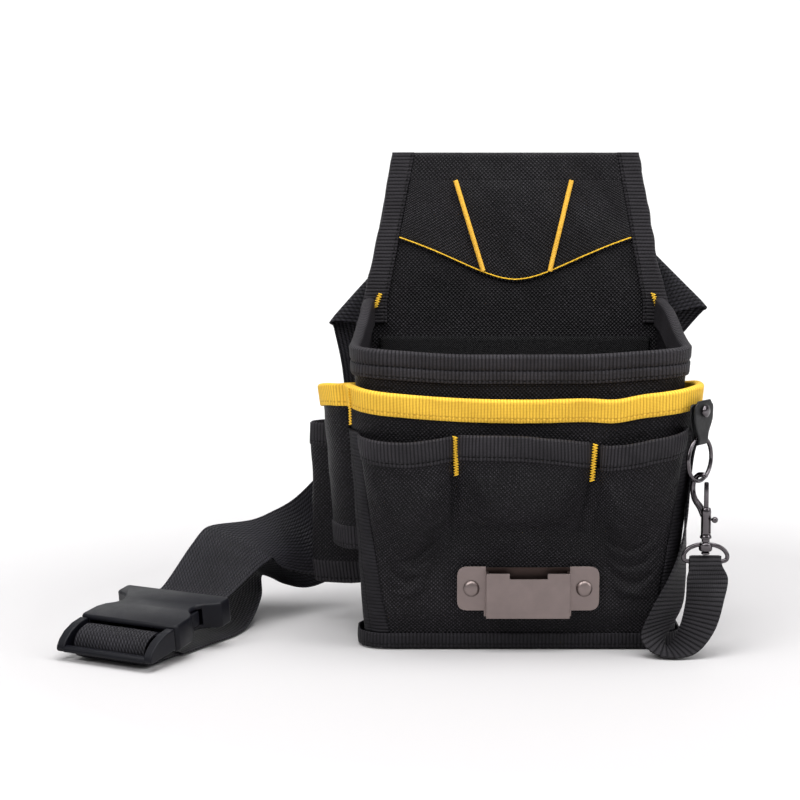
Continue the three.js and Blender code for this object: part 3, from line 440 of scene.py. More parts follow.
def tube_parts(path, radius, sides=10, close=False):
    """Rings round a path of points, turned with as little twist as possible."""
    rings = []
    count = len(path)
    side = None
    for k, point in enumerate(path):
        before = path[(k - 1) % count] if close or k else point
        after = path[(k + 1) % count] if close or k + 1 < count else point
        tangent = (after - before).normalized()
        if side is None:
            side = tangent.orthogonal().normalized()
        side = (side - tangent * side.dot(tangent)).normalized()
        up = tangent.cross(side)
        r = radius(k / (count - 1)) if callable(radius) else radius
        angles = [2 * math.pi * i / sides for i in range(sides)]
        rings.append([point + (side * math.cos(a) + up * math.sin(a)) * r for a in angles])
    return rings


class Pile:
    """Several small skins gathered into one piece."""

    def __init__(self):
        self.points, self.faces, self.uvs = [], [], []

    def rings(self, rings, close=False):
        base, count = len(self.points), len(rings[0])
        for k, ring in enumerate(rings):
            self.points.extend(ring)
            self.uvs.extend((k, i) for i in range(count))
        last = len(rings) if close else len(rings) - 1
        for k in range(last):
            low, high = base + k * count, base + ((k + 1) % len(rings)) * count
            for i in range(count):
                j = (i + 1) % count
                self.faces.append([low + i, low + j, high + j, high + i])
        if not close:
            for first in (base, base + (len(rings) - 1) * count):
                self.points.append(sum(self.points[first:first + count], Vector()) / count)
                self.uvs.append((0, 0))
                hub = len(self.points) - 1
                self.faces.extend([first + i, first + (i + 1) % count, hub] for i in range(count))

    def turned(self, profile, matrix, sides=32):
        """A body of revolution from (radius, height) pairs along the matrix's z."""
        rings = []
        for r, h in profile:
            angles = [2 * math.pi * i / sides for i in range(sides)]
            rings.append([matrix @ Vector((r * math.cos(a), r * math.sin(a), h)) for a in angles])
        self.rings(rings)

    def add(self, name, material, slot, body="pouch", sharp=40):
        return add_piece(name, self.points, self.faces, self.uvs, material, slot, body, sharp)


def bevelled(name, node, material, body="pouch", width=0.5, segments=3):
    """A copy of a hard CAD node with its edges rounded over."""
    source = bpy.data.objects[node]
    mesh = source.data.copy()
    mesh.name = name
    piece = bpy.data.objects.new(name, mesh)
    bpy.context.scene.collection.objects.link(piece)
    shell = bmesh.new()
    shell.from_mesh(mesh)
    bmesh.ops.remove_doubles(shell, verts=shell.verts, dist=1e-6)
    bmesh.ops.dissolve_limit(shell, angle_limit=math.radians(1), verts=shell.verts, edges=shell.edges)
    shell.to_mesh(mesh)
    shell.free()
    mesh.materials.clear()
    mesh.materials.append(material)
    mesh.polygons.foreach_set("use_smooth", [True] * len(mesh.polygons))
    mesh.polygons.foreach_set("material_index", [0] * len(mesh.polygons))
    edge = piece.modifiers.new("edges", "BEVEL")
    edge.width, edge.segments = width * MM, segments
    edge.limit_method, edge.angle_limit = "ANGLE", math.radians(30)
    mesh.set_sharp_from_angle(angle=math.radians(40))
    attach(piece, body)
    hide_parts(node)
    return piece


# ---------------------------------------------------------------- the bag's surfaces, as in the CAD
GAP = 0.35
FABRIC = 1.6
TAPE = 1.3
PAD = 2.4
RIM_HEIGHT = 180
BASE_HALF_WIDTH, RIM_HALF_WIDTH = 90.5, 100
BASE_FRONT, RIM_FRONT = -44, -57
WALL_BACK = 42
BACK_BOTTOM_HALF, BACK_RIM_HALF, BACK_TOP_HALF = 90, 91.5, 75
BACK_TOP, BACK_SHOULDER, BACK_THICKNESS = 291.3, 200, 4
FLOOR_CLEARANCE = 2
YELLOW_HEIGHT = 13.5


def outline_at(z):
    t = max(z, 0) / RIM_HEIGHT
    half = mix(BASE_HALF_WIDTH, RIM_HALF_WIDTH, t ** 1.6)
    return half, mix(BASE_FRONT, RIM_FRONT, t), mix(10, 26, t), mix(BACK_BOTTOM_HALF, BACK_RIM_HALF, t)


def reach(z):
    half, front, corner, _ = outline_at(z)
    return half - corner + (math.pi / 2) * corner + (WALL_BACK - front - corner)


def wall(d, z, out):
    """A point at distance d along the bag's outline, height z, and out from the body's face."""
    half, front, corner, back = outline_at(z)
    side = -1 if d < 0 else 1
    length = abs(d)
    straight = half - corner
    arc = (math.pi / 2) * corner
    if length <= straight:
        return Vector((side * length, front - out, z))
    if length <= straight + arc:
        angle = (length - straight) / corner
        radius = corner + out
        return Vector((side * (straight + radius * math.sin(angle)),
                       front + corner - radius * math.cos(angle), z))
    run = length - straight - arc
    whole = WALL_BACK - front - corner
    return Vector((side * (mix(half, back, run / whole) + out), front + corner + run, z))


def turn(d, z):
    half, _, corner, _ = outline_at(z)
    return smooth(half - corner, half - corner + (math.pi / 2) * corner, abs(d))


def soft(d, z):
    """Shared unevenness of the sewn walls: quiet at the base, the clip and the hanger tab."""
    calm = smooth(4, 34, z) * (1 - 0.85 * bump_at(d, 4, 46) * bump_at(z, 38, 20))
    calm *= 1 - 0.9 * bump_at(d, 108, 16) * smooth(118, 134, z)
    swell = 1.1 * wavy(d, z, 46, 3.1) + 0.5 * wavy(d + z * 0.5, z, 19, 7.7)
    return calm * swell


def skin(d, z, out):
    return wall(d, z, out + soft(d, z))


def panel_out(d, z):
    lean = mix(7.0, 2.0, turn(d, z)) * (z / 140)
    flare = 4.5 * smooth(118, 148, z) * smooth(78, 104, d) * (1 - smooth(122, 150, d))
    return 0.9 + lean + flare


def panel_face(d, z):
    return panel_out(d, z) + FABRIC


def rim_top(d):
    return 178.4 + 3.2 * smooth(30, 95, abs(d)) + 21 * smooth(100, 190, abs(d)) ** 1.3


def yellow_top(d):
    rise = 6.5 * min(abs(d) / 97, 1) ** 2
    sag = 1.8 * bump_at(d, 54, 12)
    backwards = 6 * smooth(100, 150, -d) if d < 0 else 4 * smooth(112, 150, d)
    return 152.8 + rise - sag - backwards


def channel(name, stations, faces, top, height, material, slot, rows=()):
    """Tape folded over a panel's top edge: rounded fold, slightly proud rows between its stitch lines."""
    slack = GAP + 0.35

    def section(d):
        edge = top(d)
        low = edge - height

        def side(outer, z, extra):
            inner_face, outer_face = faces(d, z)
            return outer_face + slack + extra if outer else inner_face - slack - extra

        ring = []
        steps = 14
        for k in range(steps + 1):
            z = mix(low, edge - 1.6, k / steps)
            row = sum(1.0 * bump_at(z - low, at, 0.9) for at in rows)
            lip = TAPE - 0.35 * bump_at(z - low, 0, 0.6) + 0.3 * wavy(d, z * 0.7, 7, 11.1)
            ring.append(skin(d, z, side(True, z, lip + 0.15 - row)))
        start, stop = side(True, edge, TAPE + 0.1), side(False, edge, TAPE + 0.1)
        for k in range(1, 8):
            angle = math.pi * k / 8
            out = mix(start, stop, 0.5 - 0.5 * math.cos(angle))
            ring.append(skin(d, edge - 1.6 + 1.9 * math.sin(angle), out))
        for k in range(7):
            z = mix(edge - 1.6, low, k / 6)
            ring.append(skin(d, z, side(False, z, TAPE)))
        for k in range(3):
            z = mix(low, edge - TAPE - 0.3, k / 2)
            ring.append(skin(d, z, side(False, z, 0)))
        for k in range(3):
            z = mix(edge - TAPE - 0.3, low, k / 2)
            ring.append(skin(d, z, side(True, z, 0)))
        return ring

    return loft(name, [section(d) for d in stations], material, slot)


def evenly(low, high, steps):
    return [mix(low, high, k / steps) for k in range(steps + 1)]


# ---------------------------------------------------------------- base and walls
for piece_name, node in (("base_cover", "base_panel"), ("base_lining", "base_board")):
    bevelled(piece_name, node, fabric_object)


def bag_wall(u, v, face):
    d = mix(-reach(90) + GAP, reach(90) - GAP, u)
    z = mix(FLOOR_CLEARANCE, rim_top(d) - 2.4, v)
    d = mix(-reach(z) + GAP, reach(z) - GAP, u)
    tuck = 0.5 * (bump_at(abs(d), outline_at(z)[0] - outline_at(z)[2] * 0.3, 2.2))
    return skin(d, z, -tuck if face else -PAD + tuck)


walls = layer("bag_wall", 150, 60, bag_wall, fabric)
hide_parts("front_panel", "side_gusset_left", "side_gusset_right")

end = reach(190) - 1
rim_stations = evenly(-end, end, 180)
rim = channel("rim_tape", rim_stations, lambda d, z: (-PAD, 0), rim_top, 17, rim_weave, "tape", rows=(8.0,))
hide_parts("rim_binding")

# ---------------------------------------------------------------- side sleeves
SLEEVE_FRONT = {"start": lambda z: -152, "stop": lambda z: -107.2, "depth": 15.5}
SLEEVE_REAR = {"start": lambda z: 2 - reach(z), "stop": lambda z: -154, "depth": 29.5}


def sleeve_out(shape, u, z):
    return 2 * GAP + panel_face(-107, z) + shape["depth"] * bell(u) ** 0.55


def sleeve(name, shape, low, high, thickness, nv, material, slot, node, lift=0.0, wave=0.0):
    def at(u, v, face):
        z = mix(low(u), high(u), v)
        d = mix(shape["start"](z), shape["stop"](z), u)
        dent = wave * bell(u) * wavy(d * 1.0, z, 24, 5.5)
        return skin(d, z, sleeve_out(shape, u, z) + lift + dent + face * thickness)

    piece = layer(name, 40, nv, at, material, slot)
    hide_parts(node)
    return piece


def flat(z):
    return lambda u: z


def front_sleeve_top(u):
    return yellow_top(mix(-152, -107.2, u)) - TAPE - GAP


EDGE = FABRIC + 0.8
sleeve("front_sleeve", SLEEVE_FRONT, flat(70), front_sleeve_top, FABRIC, 40, fabric, "polyester",
       "side_sleeve_front", wave=0.9)
sleeve("front_sleeve_hem", SLEEVE_FRONT, flat(57), flat(70.2), EDGE, 8, tape, "tape", "sleeve_front_hem",
       lift=-0.2)
sleeve("rear_sleeve", SLEEVE_REAR, flat(38), flat(113), FABRIC, 40, fabric, "polyester",
       "side_sleeve_rear", wave=1.2)
sleeve("rear_sleeve_hem", SLEEVE_REAR, flat(25.5), flat(38.2), EDGE, 8, tape, "tape", "sleeve_rear_hem",
       lift=-0.2, wave=1.0)
sleeve("rear_sleeve_cuff", SLEEVE_REAR, flat(112.8), flat(126), EDGE, 8, tape, "tape", "sleeve_rear_binding",
       lift=-0.2, wave=1.2)

# ---------------------------------------------------------------- outer pocket and its yellow tape
PANEL_LEFT, PANEL_RIGHT = -106.6, 150


def outer_panel(u, v, face):
    d = mix(PANEL_LEFT, PANEL_RIGHT, u)
    z = mix(FLOOR_CLEARANCE, yellow_top(d) - TAPE - GAP, v)
    return skin(d, z, panel_face(d, z) if face else panel_out(d, z))


outer = layer("outer_pocket", 140, 60, outer_panel, fabric)
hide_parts("outer_pocket_panel")


def yellow_faces(d, z):
    if d >= PANEL_LEFT:
        return panel_out(d, z), panel_face(d, z)
    u = (d + 152) / (152 - 107.2)
    inner = sleeve_out(SLEEVE_FRONT, u, z)
    return inner, inner + FABRIC


yellow_stations = evenly(-152, -107.2, 40) + evenly(PANEL_LEFT, PANEL_RIGHT, 150)
yellow = channel("yellow_tape", yellow_stations, yellow_faces, yellow_top, YELLOW_HEIGHT, yellow_weave,
                 "yellow")
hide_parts("yellow_binding")


# ---------------------------------------------------------------- front pockets
def corner_line(z):
    return mix(84, 100, z / 145)


POCKETS = {
    "left": {"start": lambda z: -corner_line(z) + 7, "stop": lambda z: -40.6,
             "top": lambda t: 131 - 5.5 * bell(t * 0.8) * (1 - t)},
    "centre": {"start": lambda z: -38.4, "stop": lambda z: mix(33, 40.2, smooth(50, 116, z)),
               "top": lambda t: 131.6 - 4.6 * t ** 2 + 1.5 * bell(t)},
    "right": {"start": lambda z: mix(41.5, 45.4, smooth(50, 116, z)), "stop": lambda z: corner_line(z) - 7,
              "top": lambda t: 125.4 + 9.5 * t ** 1.5},
}
POCKET_DEPTH = 11
POCKET_BINDING = 14


def pocket_out(t, z, d):
    fullness = smooth(50, 112, z)
    seat = 0.06 * max(52 - z, 0) * smooth(12, 26, z)
    sway = wavy(d * 1.4, z * 0.4, 24, 9.3) + 0.45 * wavy(d + z * 0.4, z, 12, 1.9)
    fold = 2.4 * smooth(52, 92, z) * bell(t) * sway
    ridge = 2.2 * bump_at(d, mix(-66, -80, z / 120), 4.5) * smooth(18, 44, z) * (1 - smooth(88, 110, z))
    crease = 2.6 * bump_at(d, mix(64, 50, z / 120), 5) * smooth(48, 74, z) * (1 - smooth(92, 114, z))
    return panel_face(d, z) + GAP + seat + POCKET_DEPTH * fullness * bell(t) ** 0.55 + fold + ridge + crease


# One cloth makes all three pockets: it is sewn down between them and pleated beside the right one.
COLUMNS = {"left": 46, "centre": 60, "right": 46}
pocket_columns = [(side, t) for side, count in COLUMNS.items() for t in evenly(0, 1, count)]


def pocket_place(u, v):
    side, t = pocket_columns[round(u * (len(pocket_columns) - 1))]
    pocket = POCKETS[side]
    z = mix(FLOOR_CLEARANCE, pocket["top"](t) - POCKET_BINDING + 0.4, v)
    return t, z, mix(pocket["start"](z), pocket["stop"](z), t)


def pocket_free(u, v):
    """How freely the pocket cloth moves: 0 at its seams, at its tape and behind the clip, 1 in the open."""
    t, z, d = pocket_place(u, v)
    low = mix(60, 16, smooth(46, 60, abs(d)))
    return smooth(0, 0.16, min(t, 1 - t)) * smooth(low, low + 24, z) * smooth(0, 0.12, 1 - v)


def pocket_rest(u, v, face):
    t, z, d = pocket_place(u, v)
    return skin(d, z, pocket_out(t, z, d) + face * FABRIC)


def slackened(nu, nv, at, free, cap):
    """Cloth simulation of a layer cut a little too large for where it is sewn: each grid point's move."""
    still = [[Vector() for _ in range(nu + 1)] for _ in range(nv + 1)]
    places = [(i, j) for j in range(nv + 1) for i in range(nu + 1)]
    rest = [at(i / nu, j / nv, 0.5) * MM for i, j in places]
    corners = [j * (nu + 1) + i for j in range(nv) for i in range(nu)]
    quads = [(k, k + 1, k + nu + 2, k + nu + 1) for k in corners]
    mesh = bpy.data.meshes.new("slack_cloth")
    mesh.from_pydata(rest, [], quads)
    piece = bpy.data.objects.new("slack_cloth", mesh)
    bpy.context.scene.collection.objects.link(piece)
    pins = piece.vertex_groups.new(name="pins")
    for k, (i, j) in enumerate(places):
        pins.add([k], 1 - free(i / nu, j / nv), "REPLACE")
    modifier = piece.modifiers.new("cloth", "CLOTH")
    cloth = modifier.settings
    cloth.vertex_group_mass = "pins"
    cloth.quality, cloth.mass = 6, 0.2
    cloth.tension_stiffness = cloth.compression_stiffness = 10
    cloth.shear_stiffness, cloth.bending_stiffness = 4, 0.15
    cloth.shrink_min = -0.025
    cloth.use_pressure, cloth.uniform_pressure_force = True, 0.5
    cloth.effector_weights.gravity = 0.5
    for frame in range(1, 17):
        bpy.context.scene.frame_set(frame)
    shape = piece.evaluated_get(bpy.context.evaluated_depsgraph_get()).data.vertices
    for k, (i, j) in enumerate(places):
        move = (shape[k].co - rest[k]) / MM
        out = (at(i / nu, j / nv, 1) - at(i / nu, j / nv, 0)).normalized()
        rise = clamp(move.dot(out), -0.5 * cap, cap)
        still[j][i] = out * rise * smooth(0, 0.3, free(i / nu, j / nv))
    bpy.data.objects.remove(piece)
    bpy.context.scene.frame_set(1)
    return still


POCKET_NU, POCKET_NV = len(pocket_columns) - 1, 84
MOST_MOVE = 4.0
slack = slackened(POCKET_NU, POCKET_NV, pocket_rest, pocket_free, MOST_MOVE)


def pocket_cloth(u, v, face):
    return pocket_rest(u, v, face) + slack[round(v * POCKET_NV)][round(u * POCKET_NU)]


cloth = layer("pocket_fronts", POCKET_NU, POCKET_NV, pocket_cloth, fabric)
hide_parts("front_pocket_left", "front_pocket_centre", "front_pocket_right")

for side, pocket in POCKETS.items():
    def pocket_tape(u, v, face):
        z = mix(pocket["top"](u) - POCKET_BINDING, pocket["top"](u), v)
        d = mix(pocket["start"](z), pocket["stop"](z), u)
        proud = face * (0.4 * bell(v) - 0.45 * bump_at(v * POCKET_BINDING, 2.0, 0.8))
        return skin(d, z, pocket_out(u, z, d) - 0.2 + face * (FABRIC + 1) + proud)

    binding = layer(f"pocket_{side}_tape", 60, 22, pocket_tape, tape, "tape")
    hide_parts(f"front_pocket_{side}_binding")


# ---------------------------------------------------------------- seam tapes
for name, side in (("corner_tape_left", -1), ("corner_tape_right", 1)):
    def corner_tape(u, v, face):
        z = mix(10.2, 132, v)
        d = side * (corner_line(z) + mix(-6.4, 6.4, u))
        over = panel_face(max(d, PANEL_LEFT + 0.6), z)
        crown = 0.35 * bell(u) + 0.5 * wavy(d, z, 9, 6.1)
        return skin(d, z, over + 2 * GAP + face * (TAPE + crown))

    piece = layer(name, 12, 110, corner_tape, seam_tape, "tape", along="v")
    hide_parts(name.replace("tape", "binding"))


def bottom_tape(u, v, face):
    d = mix(-reach(5) + 1, reach(5) - 1, u)
    z = mix(FLOOR_CLEARANCE - 0.6, 9.8, v)
    # Past the outer pocket's ends the tape settles onto the wall.
    settled = smooth(148, 157, d) if d > 0 else smooth(107, 120, -d)
    over = mix(panel_face(d, z) + 3 * GAP + FABRIC + 0.2, 0.5, settled)
    return skin(d, z, over + face * (TAPE + 0.3 * bell(v)))


bottom = layer("bottom_tape", 160, 8, bottom_tape, seam_tape, "tape")
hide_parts("bottom_binding")

# ---------------------------------------------------------------- back panel and what is sewn to it
BACK_FRONT = WALL_BACK + GAP
BACK_REAR = BACK_FRONT + BACK_THICKNESS
HEM_LOW = 276.5


def side_at(z):
    return mix(BACK_RIM_HALF + 0.5, BACK_TOP_HALF, clamp((z - BACK_SHOULDER) / (BACK_TOP - BACK_SHOULDER)))


def bowed(x, y, z):
    """The upper back gives a little: shared by the panel and everything sewn to it."""
    free = smooth(185, 225, z)
    edge = 1 - smooth(0.7, 1.0, abs(x) / side_at(z))
    swell = 1.3 * wavy(x, z, 38, 12.4) + 1.0 * wavy(x + z * 0.8, (z - x) * 0.35, 15, 4.2)
    return Vector((x, y + free * (0.35 + 0.65 * edge) * swell, z))


def back_shape(u, v, face):
    z = mix(FLOOR_CLEARANCE, BACK_TOP, v)
    lower = mix(BACK_BOTTOM_HALF - 2, BACK_RIM_HALF + 0.5, clamp(z / BACK_SHOULDER))
    half = lower if z < BACK_SHOULDER else side_at(z)
    x = mix(-half, half, u)
    return bowed(x, BACK_FRONT if face else BACK_REAR, z)


back = layer("back_pad", 70, 120, back_shape, fabric)
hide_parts("back_panel")


def inner_pocket(u, v, face):
    z = mix(12, 178, v)
    half = mix(80, 84, v)
    return Vector((mix(-half, half, u), BACK_FRONT - GAP - (FABRIC if face else 0), z))


inner = layer("inner_pocket", 40, 60, inner_pocket, lining)
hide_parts("inner_pocket_panel")

MIDDLE = (BACK_FRONT + BACK_REAR) / 2
HALF = BACK_THICKNESS / 2 + GAP


def hem_ring(u):
    """The hem's section goes up the front, over the top edge and down the rear."""
    ring = []
    path = [(-HALF - TAPE, HEM_LOW + 14.0 * k / 9) for k in range(10)]
    path += [(-(HALF + TAPE) * math.cos(a), BACK_TOP - 0.4 + 2.05 * math.sin(a))
             for a in (math.pi * k / 8 for k in range(1, 8))]
    path += [(HALF + TAPE, HEM_LOW + 14.0 * k / 9) for k in range(9, -1, -1)]
    path += [(HALF, HEM_LOW), (HALF, BACK_TOP + GAP), (-HALF, BACK_TOP + GAP), (-HALF, HEM_LOW)]
    for y, z in path:
        half = side_at(z) - 12.2
        ring.append(bowed(mix(-half, half, u), MIDDLE + y, z))
    return ring


hem = loft("top_hem_fold", [hem_ring(k / 60) for k in range(61)], fabric, "polyester")
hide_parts("top_hem")

SEAM_END, SEAM_LOW = 239, 212.7


def seam_curve(u):
    """The curved seam across the upper back, low in the middle; u runs from -1 to 1."""
    half = side_at(SEAM_END) - 12.6
    t = abs(u)
    a, b, c, d = (0, SEAM_LOW), (20, SEAM_LOW + 1), (half / 2, SEAM_END - 12), (half, SEAM_END)
    weights = ((1 - t) ** 3, 3 * t * (1 - t) ** 2, 3 * t * t * (1 - t), t ** 3)
    x = sum(w * p[0] for w, p in zip(weights, (a, b, c, d)))
    z = sum(w * p[1] for w, p in zip(weights, (a, b, c, d)))
    return math.copysign(x, u), z


def upper_shape(u, v, face):
    x, low = seam_curve(2 * u - 1)
    half_low = side_at(SEAM_END) - 12.6
    half_top = side_at(HEM_LOW) - 12.6
    z = mix(low, HEM_LOW - GAP, v)
    x = mix(x, x / half_low * half_top, v)
    puff = 0.5 * smooth(0, 0.1, v) * smooth(0, 0.1, 1 - v) if face else 0
    return bowed(x, BACK_FRONT - GAP - (TAPE + puff if face else 0), z)


upper = layer("upper_back_cover", 90, 50, upper_shape, fabric)
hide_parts("upper_panel")

# Pipings: the cords, which lean towards the middle; the folded strips round them are not built.
for name, top_x, low_x in (("left", -37.5, -20), ("right", 34.5, 21.5)):
    path = []
    for k in range(41):
        t = k / 40
        x, z = mix(low_x, top_x, t), mix(219.5, HEM_LOW - 0.5, t)
        path.append(bowed(x, BACK_FRONT - GAP - TAPE - 1.0, z))
    cord = loft(f"piping_{name}_cord", tube_parts(path, 1.45, 14), piping_cord, "piping")
    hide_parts(f"piping_{name}")

# Edge tapes: channels over the slanted edges, puckered a little between stitches.
edge_section = [(-12, -HALF - TAPE + 0.5), (-11.4, -HALF - TAPE - 0.1)]
edge_section += [(-11 + k * 1.35, -HALF - TAPE - 0.1) for k in range(1, 9)]
edge_section += [(GAP + 0.1 + (TAPE + 0.2) * math.sin(a), -(HALF + TAPE) * math.cos(a))
                 for a in (math.pi * k / 8 for k in range(1, 8))]
edge_section += [(-11 + k * 1.35, HALF + TAPE) for k in range(8, -1, -1)]
edge_section += [(-12, HALF), (GAP, HALF), (GAP, -HALF), (-12, -HALF)]
for name, side in (("left", -1), ("right", 1)):
    rings = []
    heights = evenly(187, BACK_TOP + GAP + TAPE, 90)
    for z in heights:
        sway = 1.5 * wavy(z, 3.0, 13, 8.0 + side) + 2.6 * (1 - smooth(192, 222, z))
        across = [side_at(z) + a + sway * smooth(-9, 1, a) for a, _ in edge_section]
        rings.append([bowed(side * a, MIDDLE + b, z) for a, (_, b) in zip(across, edge_section)])
    edge_tape = loft(f"edge_tape_{name}", rings, tape, "tape")
    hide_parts(f"edge_binding_{name}")

# Belt tunnel on the back, sewn along its top and bottom.
tunnel_path = [(BACK_REAR + GAP, 176), (BACK_REAR + GAP + 3.2, 176.6), (BACK_REAR + GAP + 5.6, 179.5),
               (BACK_REAR + GAP + 5.6, 240.5), (BACK_REAR + GAP + 3.2, 243.4), (BACK_REAR + GAP, 244),
               (BACK_REAR + GAP, 238), (BACK_REAR + GAP + 2.6, 237.6), (BACK_REAR + GAP + 4, 236),
               (BACK_REAR + GAP + 4, 184), (BACK_REAR + GAP + 2.6, 182.4), (BACK_REAR + GAP, 182)]
tunnel_fine = []
for (y0, z0), (y1, z1) in zip(tunnel_path, tunnel_path[1:] + tunnel_path[:1]):
    steps = max(int(math.hypot(y1 - y0, z1 - z0) / 4), 1)
    tunnel_fine.extend((mix(y0, y1, k / steps), mix(z0, z1, k / steps)) for k in range(steps))


def tunnel_ring(x):
    return [Vector((x, y + 0.5 * smooth(BACK_REAR + 2, BACK_REAR + 5, y) * wavy(x, z, 24, 2.2), z))
            for y, z in tunnel_fine]


tunnel = loft("belt_tunnel_cover", [tunnel_ring(x) for x in evenly(-46, 46, 46)], fabric, "polyester")
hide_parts("belt_tunnel")

# ---------------------------------------------------------------- tape clip
CLIP = Matrix.Translation((0, -54.6, 39)) @ Matrix.Rotation(math.radians(3), 4, "X")
TO_FRONT = Matrix.Rotation(math.radians(90), 4, "X")
bevelled("clip_plate", "tape_clip_plate", clip_steel, width=0.38)
bevelled("clip_backing", "clip_backing_plate", backing_steel, width=0.25)
RIVET = [(0, -1.6), (2, -1.6), (2, 3.2), (4.5, 3.2), (4.75, 3.35), (4.8, 3.7), (4.55, 4.1), (3.6, 4.72),
         (3.3, 4.85), (0, 4.95)]
for name, x in (("left", -29.5), ("right", 37.5)):
    pile = Pile()
    pile.turned(RIVET, CLIP @ Matrix.Translation((x, 0, 0)) @ TO_FRONT, 40)
    rivet = pile.add(f"clip_rivet_{name}_head", clip_steel, "clip_steel", sharp=25)
    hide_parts(f"clip_rivet_{name}")

# ---------------------------------------------------------------- hanger tab, ring and snap hook
FACING = Vector((0.788, -0.616, 0))
ACROSS = Vector((0.616, 0.788, 0))
HANGER = Vector((103.6, -54.6, 0))
RING_TOP, RING_RADIUS, RING_WIRE, HOOK_OFFSET = 129.5, 13, 1.25, 5


def hanger_point(facing, across, z):
    p = HANGER + FACING * facing + ACROSS * across
    return Vector((p.x, p.y, z))


FOLD = RING_TOP - 1.6
tab_path = [(4.1, 151.5), (3.9, 140), (3.7, 133)]
tab_path += [(1.85 + 2.1 * math.cos(a), FOLD - 2.4 * math.sin(a)) for a in (math.pi * i / 6 for i in range(7))]
tab_path += [(0.4, 133), (0.9, 140), (1.1, 149.5)]
tab_curve = [Vector((a, 0, z)) for a, z in tab_path]


def tab_shape(u, v, face):
    p = spline(tab_curve, v)
    tangent = (spline(tab_curve, v + 0.01) - spline(tab_curve, v - 0.01)).normalized()
    normal = Vector((-tangent.z, 0, tangent.x))
    p += normal * (face - 0.5) * 1.05
    width = mix(9.4, 20, smooth(128, 142, p.z))
    round_top = 1 - 0.35 * smooth(147.5, 152, p.z) * abs(2 * u - 1) ** 3
    return hanger_point(p.x, (u - 0.5) * width * round_top, p.z)


tab = layer("hanger_tab_leather", 14, 90, tab_shape, tab_leather, "tape")
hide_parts("hanger_tab")
facing_angle = math.atan2(FACING.y, FACING.x)
TAB_TURN = Matrix.Rotation(facing_angle + math.pi / 2, 4, "Z") @ TO_FRONT
pile = Pile()
TAB_RIVET = [(0, 0), (2.8, 0), (2.8, 0.6), (1.5, 0.6), (1.5, 6), (3.5, 6), (3.75, 6.25), (3.6, 6.9),
             (2.9, 7.4), (1.6, 7.65), (0, 7.7)]
pile.turned(TAB_RIVET, Matrix.Translation(hanger_point(-0.7, 0, 145.5)) @ TAB_TURN)
rivet = pile.add("hanger_rivet_cap", gunmetal, "gunmetal", sharp=35)
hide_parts("hanger_rivet")

ring_centre = hanger_point(1.85, 0, RING_TOP - RING_RADIUS)
pile = Pile()
circle = [ring_centre + (ACROSS * math.cos(a) + Vector((0, 0, 1)) * math.sin(a)) * RING_RADIUS
          for a in (2 * math.pi * k / 72 for k in range(72))]
pile.rings(tube_parts(circle, RING_WIRE, 16, close=True), close=True)
ring = pile.add("ring_wire", gunmetal, "gunmetal", "ring")
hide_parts("clip_ring")

hook_axis = hanger_point(1.85 + HOOK_OFFSET, 0, 0)
HOOK = Matrix.Translation(hook_axis) @ Matrix.Rotation(facing_angle, 4, "Z")
SIDEWAYS = Matrix.Rotation(math.pi / 2, 4, "Y")


def hook_path(points, steps):
    local = [Vector(p) for p in points]
    return [HOOK @ spline(local, k / steps) for k in range(steps + 1)]


pile = Pile()
arm = [(-1.4, 0, 83), (-4, 0, 87.6), (-8, 0, 92.4), (-9.3, 0, 97.5), (-8.7, 0, 103), (-5.6, 0, 106.9),
       (-1.9, 0, 107.2), (-0.3, 0, 105.9)]


def arm_radius(t):
    return mix(2.2, 1.55, smooth(0, 0.5, t)) - 0.35 * smooth(0.82, 1, t)


pile.rings(tube_parts(hook_path(arm, 48), arm_radius, 18))
COLLAR = [(0, 69.5), (3.1, 69.5), (3.45, 69.8), (3.5, 70.6), (3.2, 71.2), (2.95, 71.6), (2.95, 73), (0, 73)]
pile.turned(COLLAR, HOOK)
pile.turned([(0, 83.5), (2.95, 83.5), (2.95, 86), (2.75, 87.4), (2.3, 88), (0, 88)], HOOK)
POST = [(0, 59.9), (2.2, 59.9), (2.5, 60.2), (2.5, 61.0), (2.2, 61.3), (1.5, 61.6), (1.5, 67.4), (2.3, 67.5),
        (2.4, 68), (2.4, 70), (0, 70)]
pile.turned(POST, HOOK, 28)
# The barrel between its ends is slotted for the thumb knob.
for sweep in range(18):
    a0 = math.radians(24) + sweep * math.radians(312 / 18)
    a1 = a0 + math.radians(312 / 18)
    ring_pair = []
    for z in (72.9, 83.6):
        corners = [(2.95, a0), (2.95, a1), (1.8, a1), (1.8, a0)]
        ring_pair.append([HOOK @ Vector((r * math.cos(a), r * math.sin(a), z)) for r, a in corners])
    pile.rings(ring_pair)
hook = pile.add("hook_casting", gunmetal, "gunmetal", "hook", sharp=35)
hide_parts("hook_body")

pile = Pile()
pile.turned([(0, 79.9), (1.2, 79.9), (1.4, 80.2), (1.4, 102.4), (1.15, 103.2), (0, 103.4)], HOOK, 24)
pile.turned([(0, 0), (0.8, 0), (0.8, 5.2), (0, 5.2)], HOOK @ Matrix.Translation((0, 0, 81.3)) @ SIDEWAYS, 16)
ball = [(1.9 * math.sin(math.pi * k / 14), 6 - 1.9 * math.cos(math.pi * k / 14)) for k in range(15)]
pile.turned(ball, HOOK @ Matrix.Translation((0, 0, 81.3)) @ SIDEWAYS, 24)
bolt = pile.add("bolt_and_knob", gunmetal, "gunmetal", "bolt")
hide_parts("hook_bolt")

pile = Pile()
coil = [HOOK @ Vector((1.25 * math.cos(a), 1.25 * math.sin(a), mix(72.75, 78.8, a / (14 * math.pi))))
        for a in (14 * math.pi * k / 168 for k in range(169))]
pile.rings(tube_parts(coil, 0.3, 8))
spring = pile.add("coil_spring", gunmetal, "gunmetal", "hook")
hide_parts("bolt_spring")
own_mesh(spring)

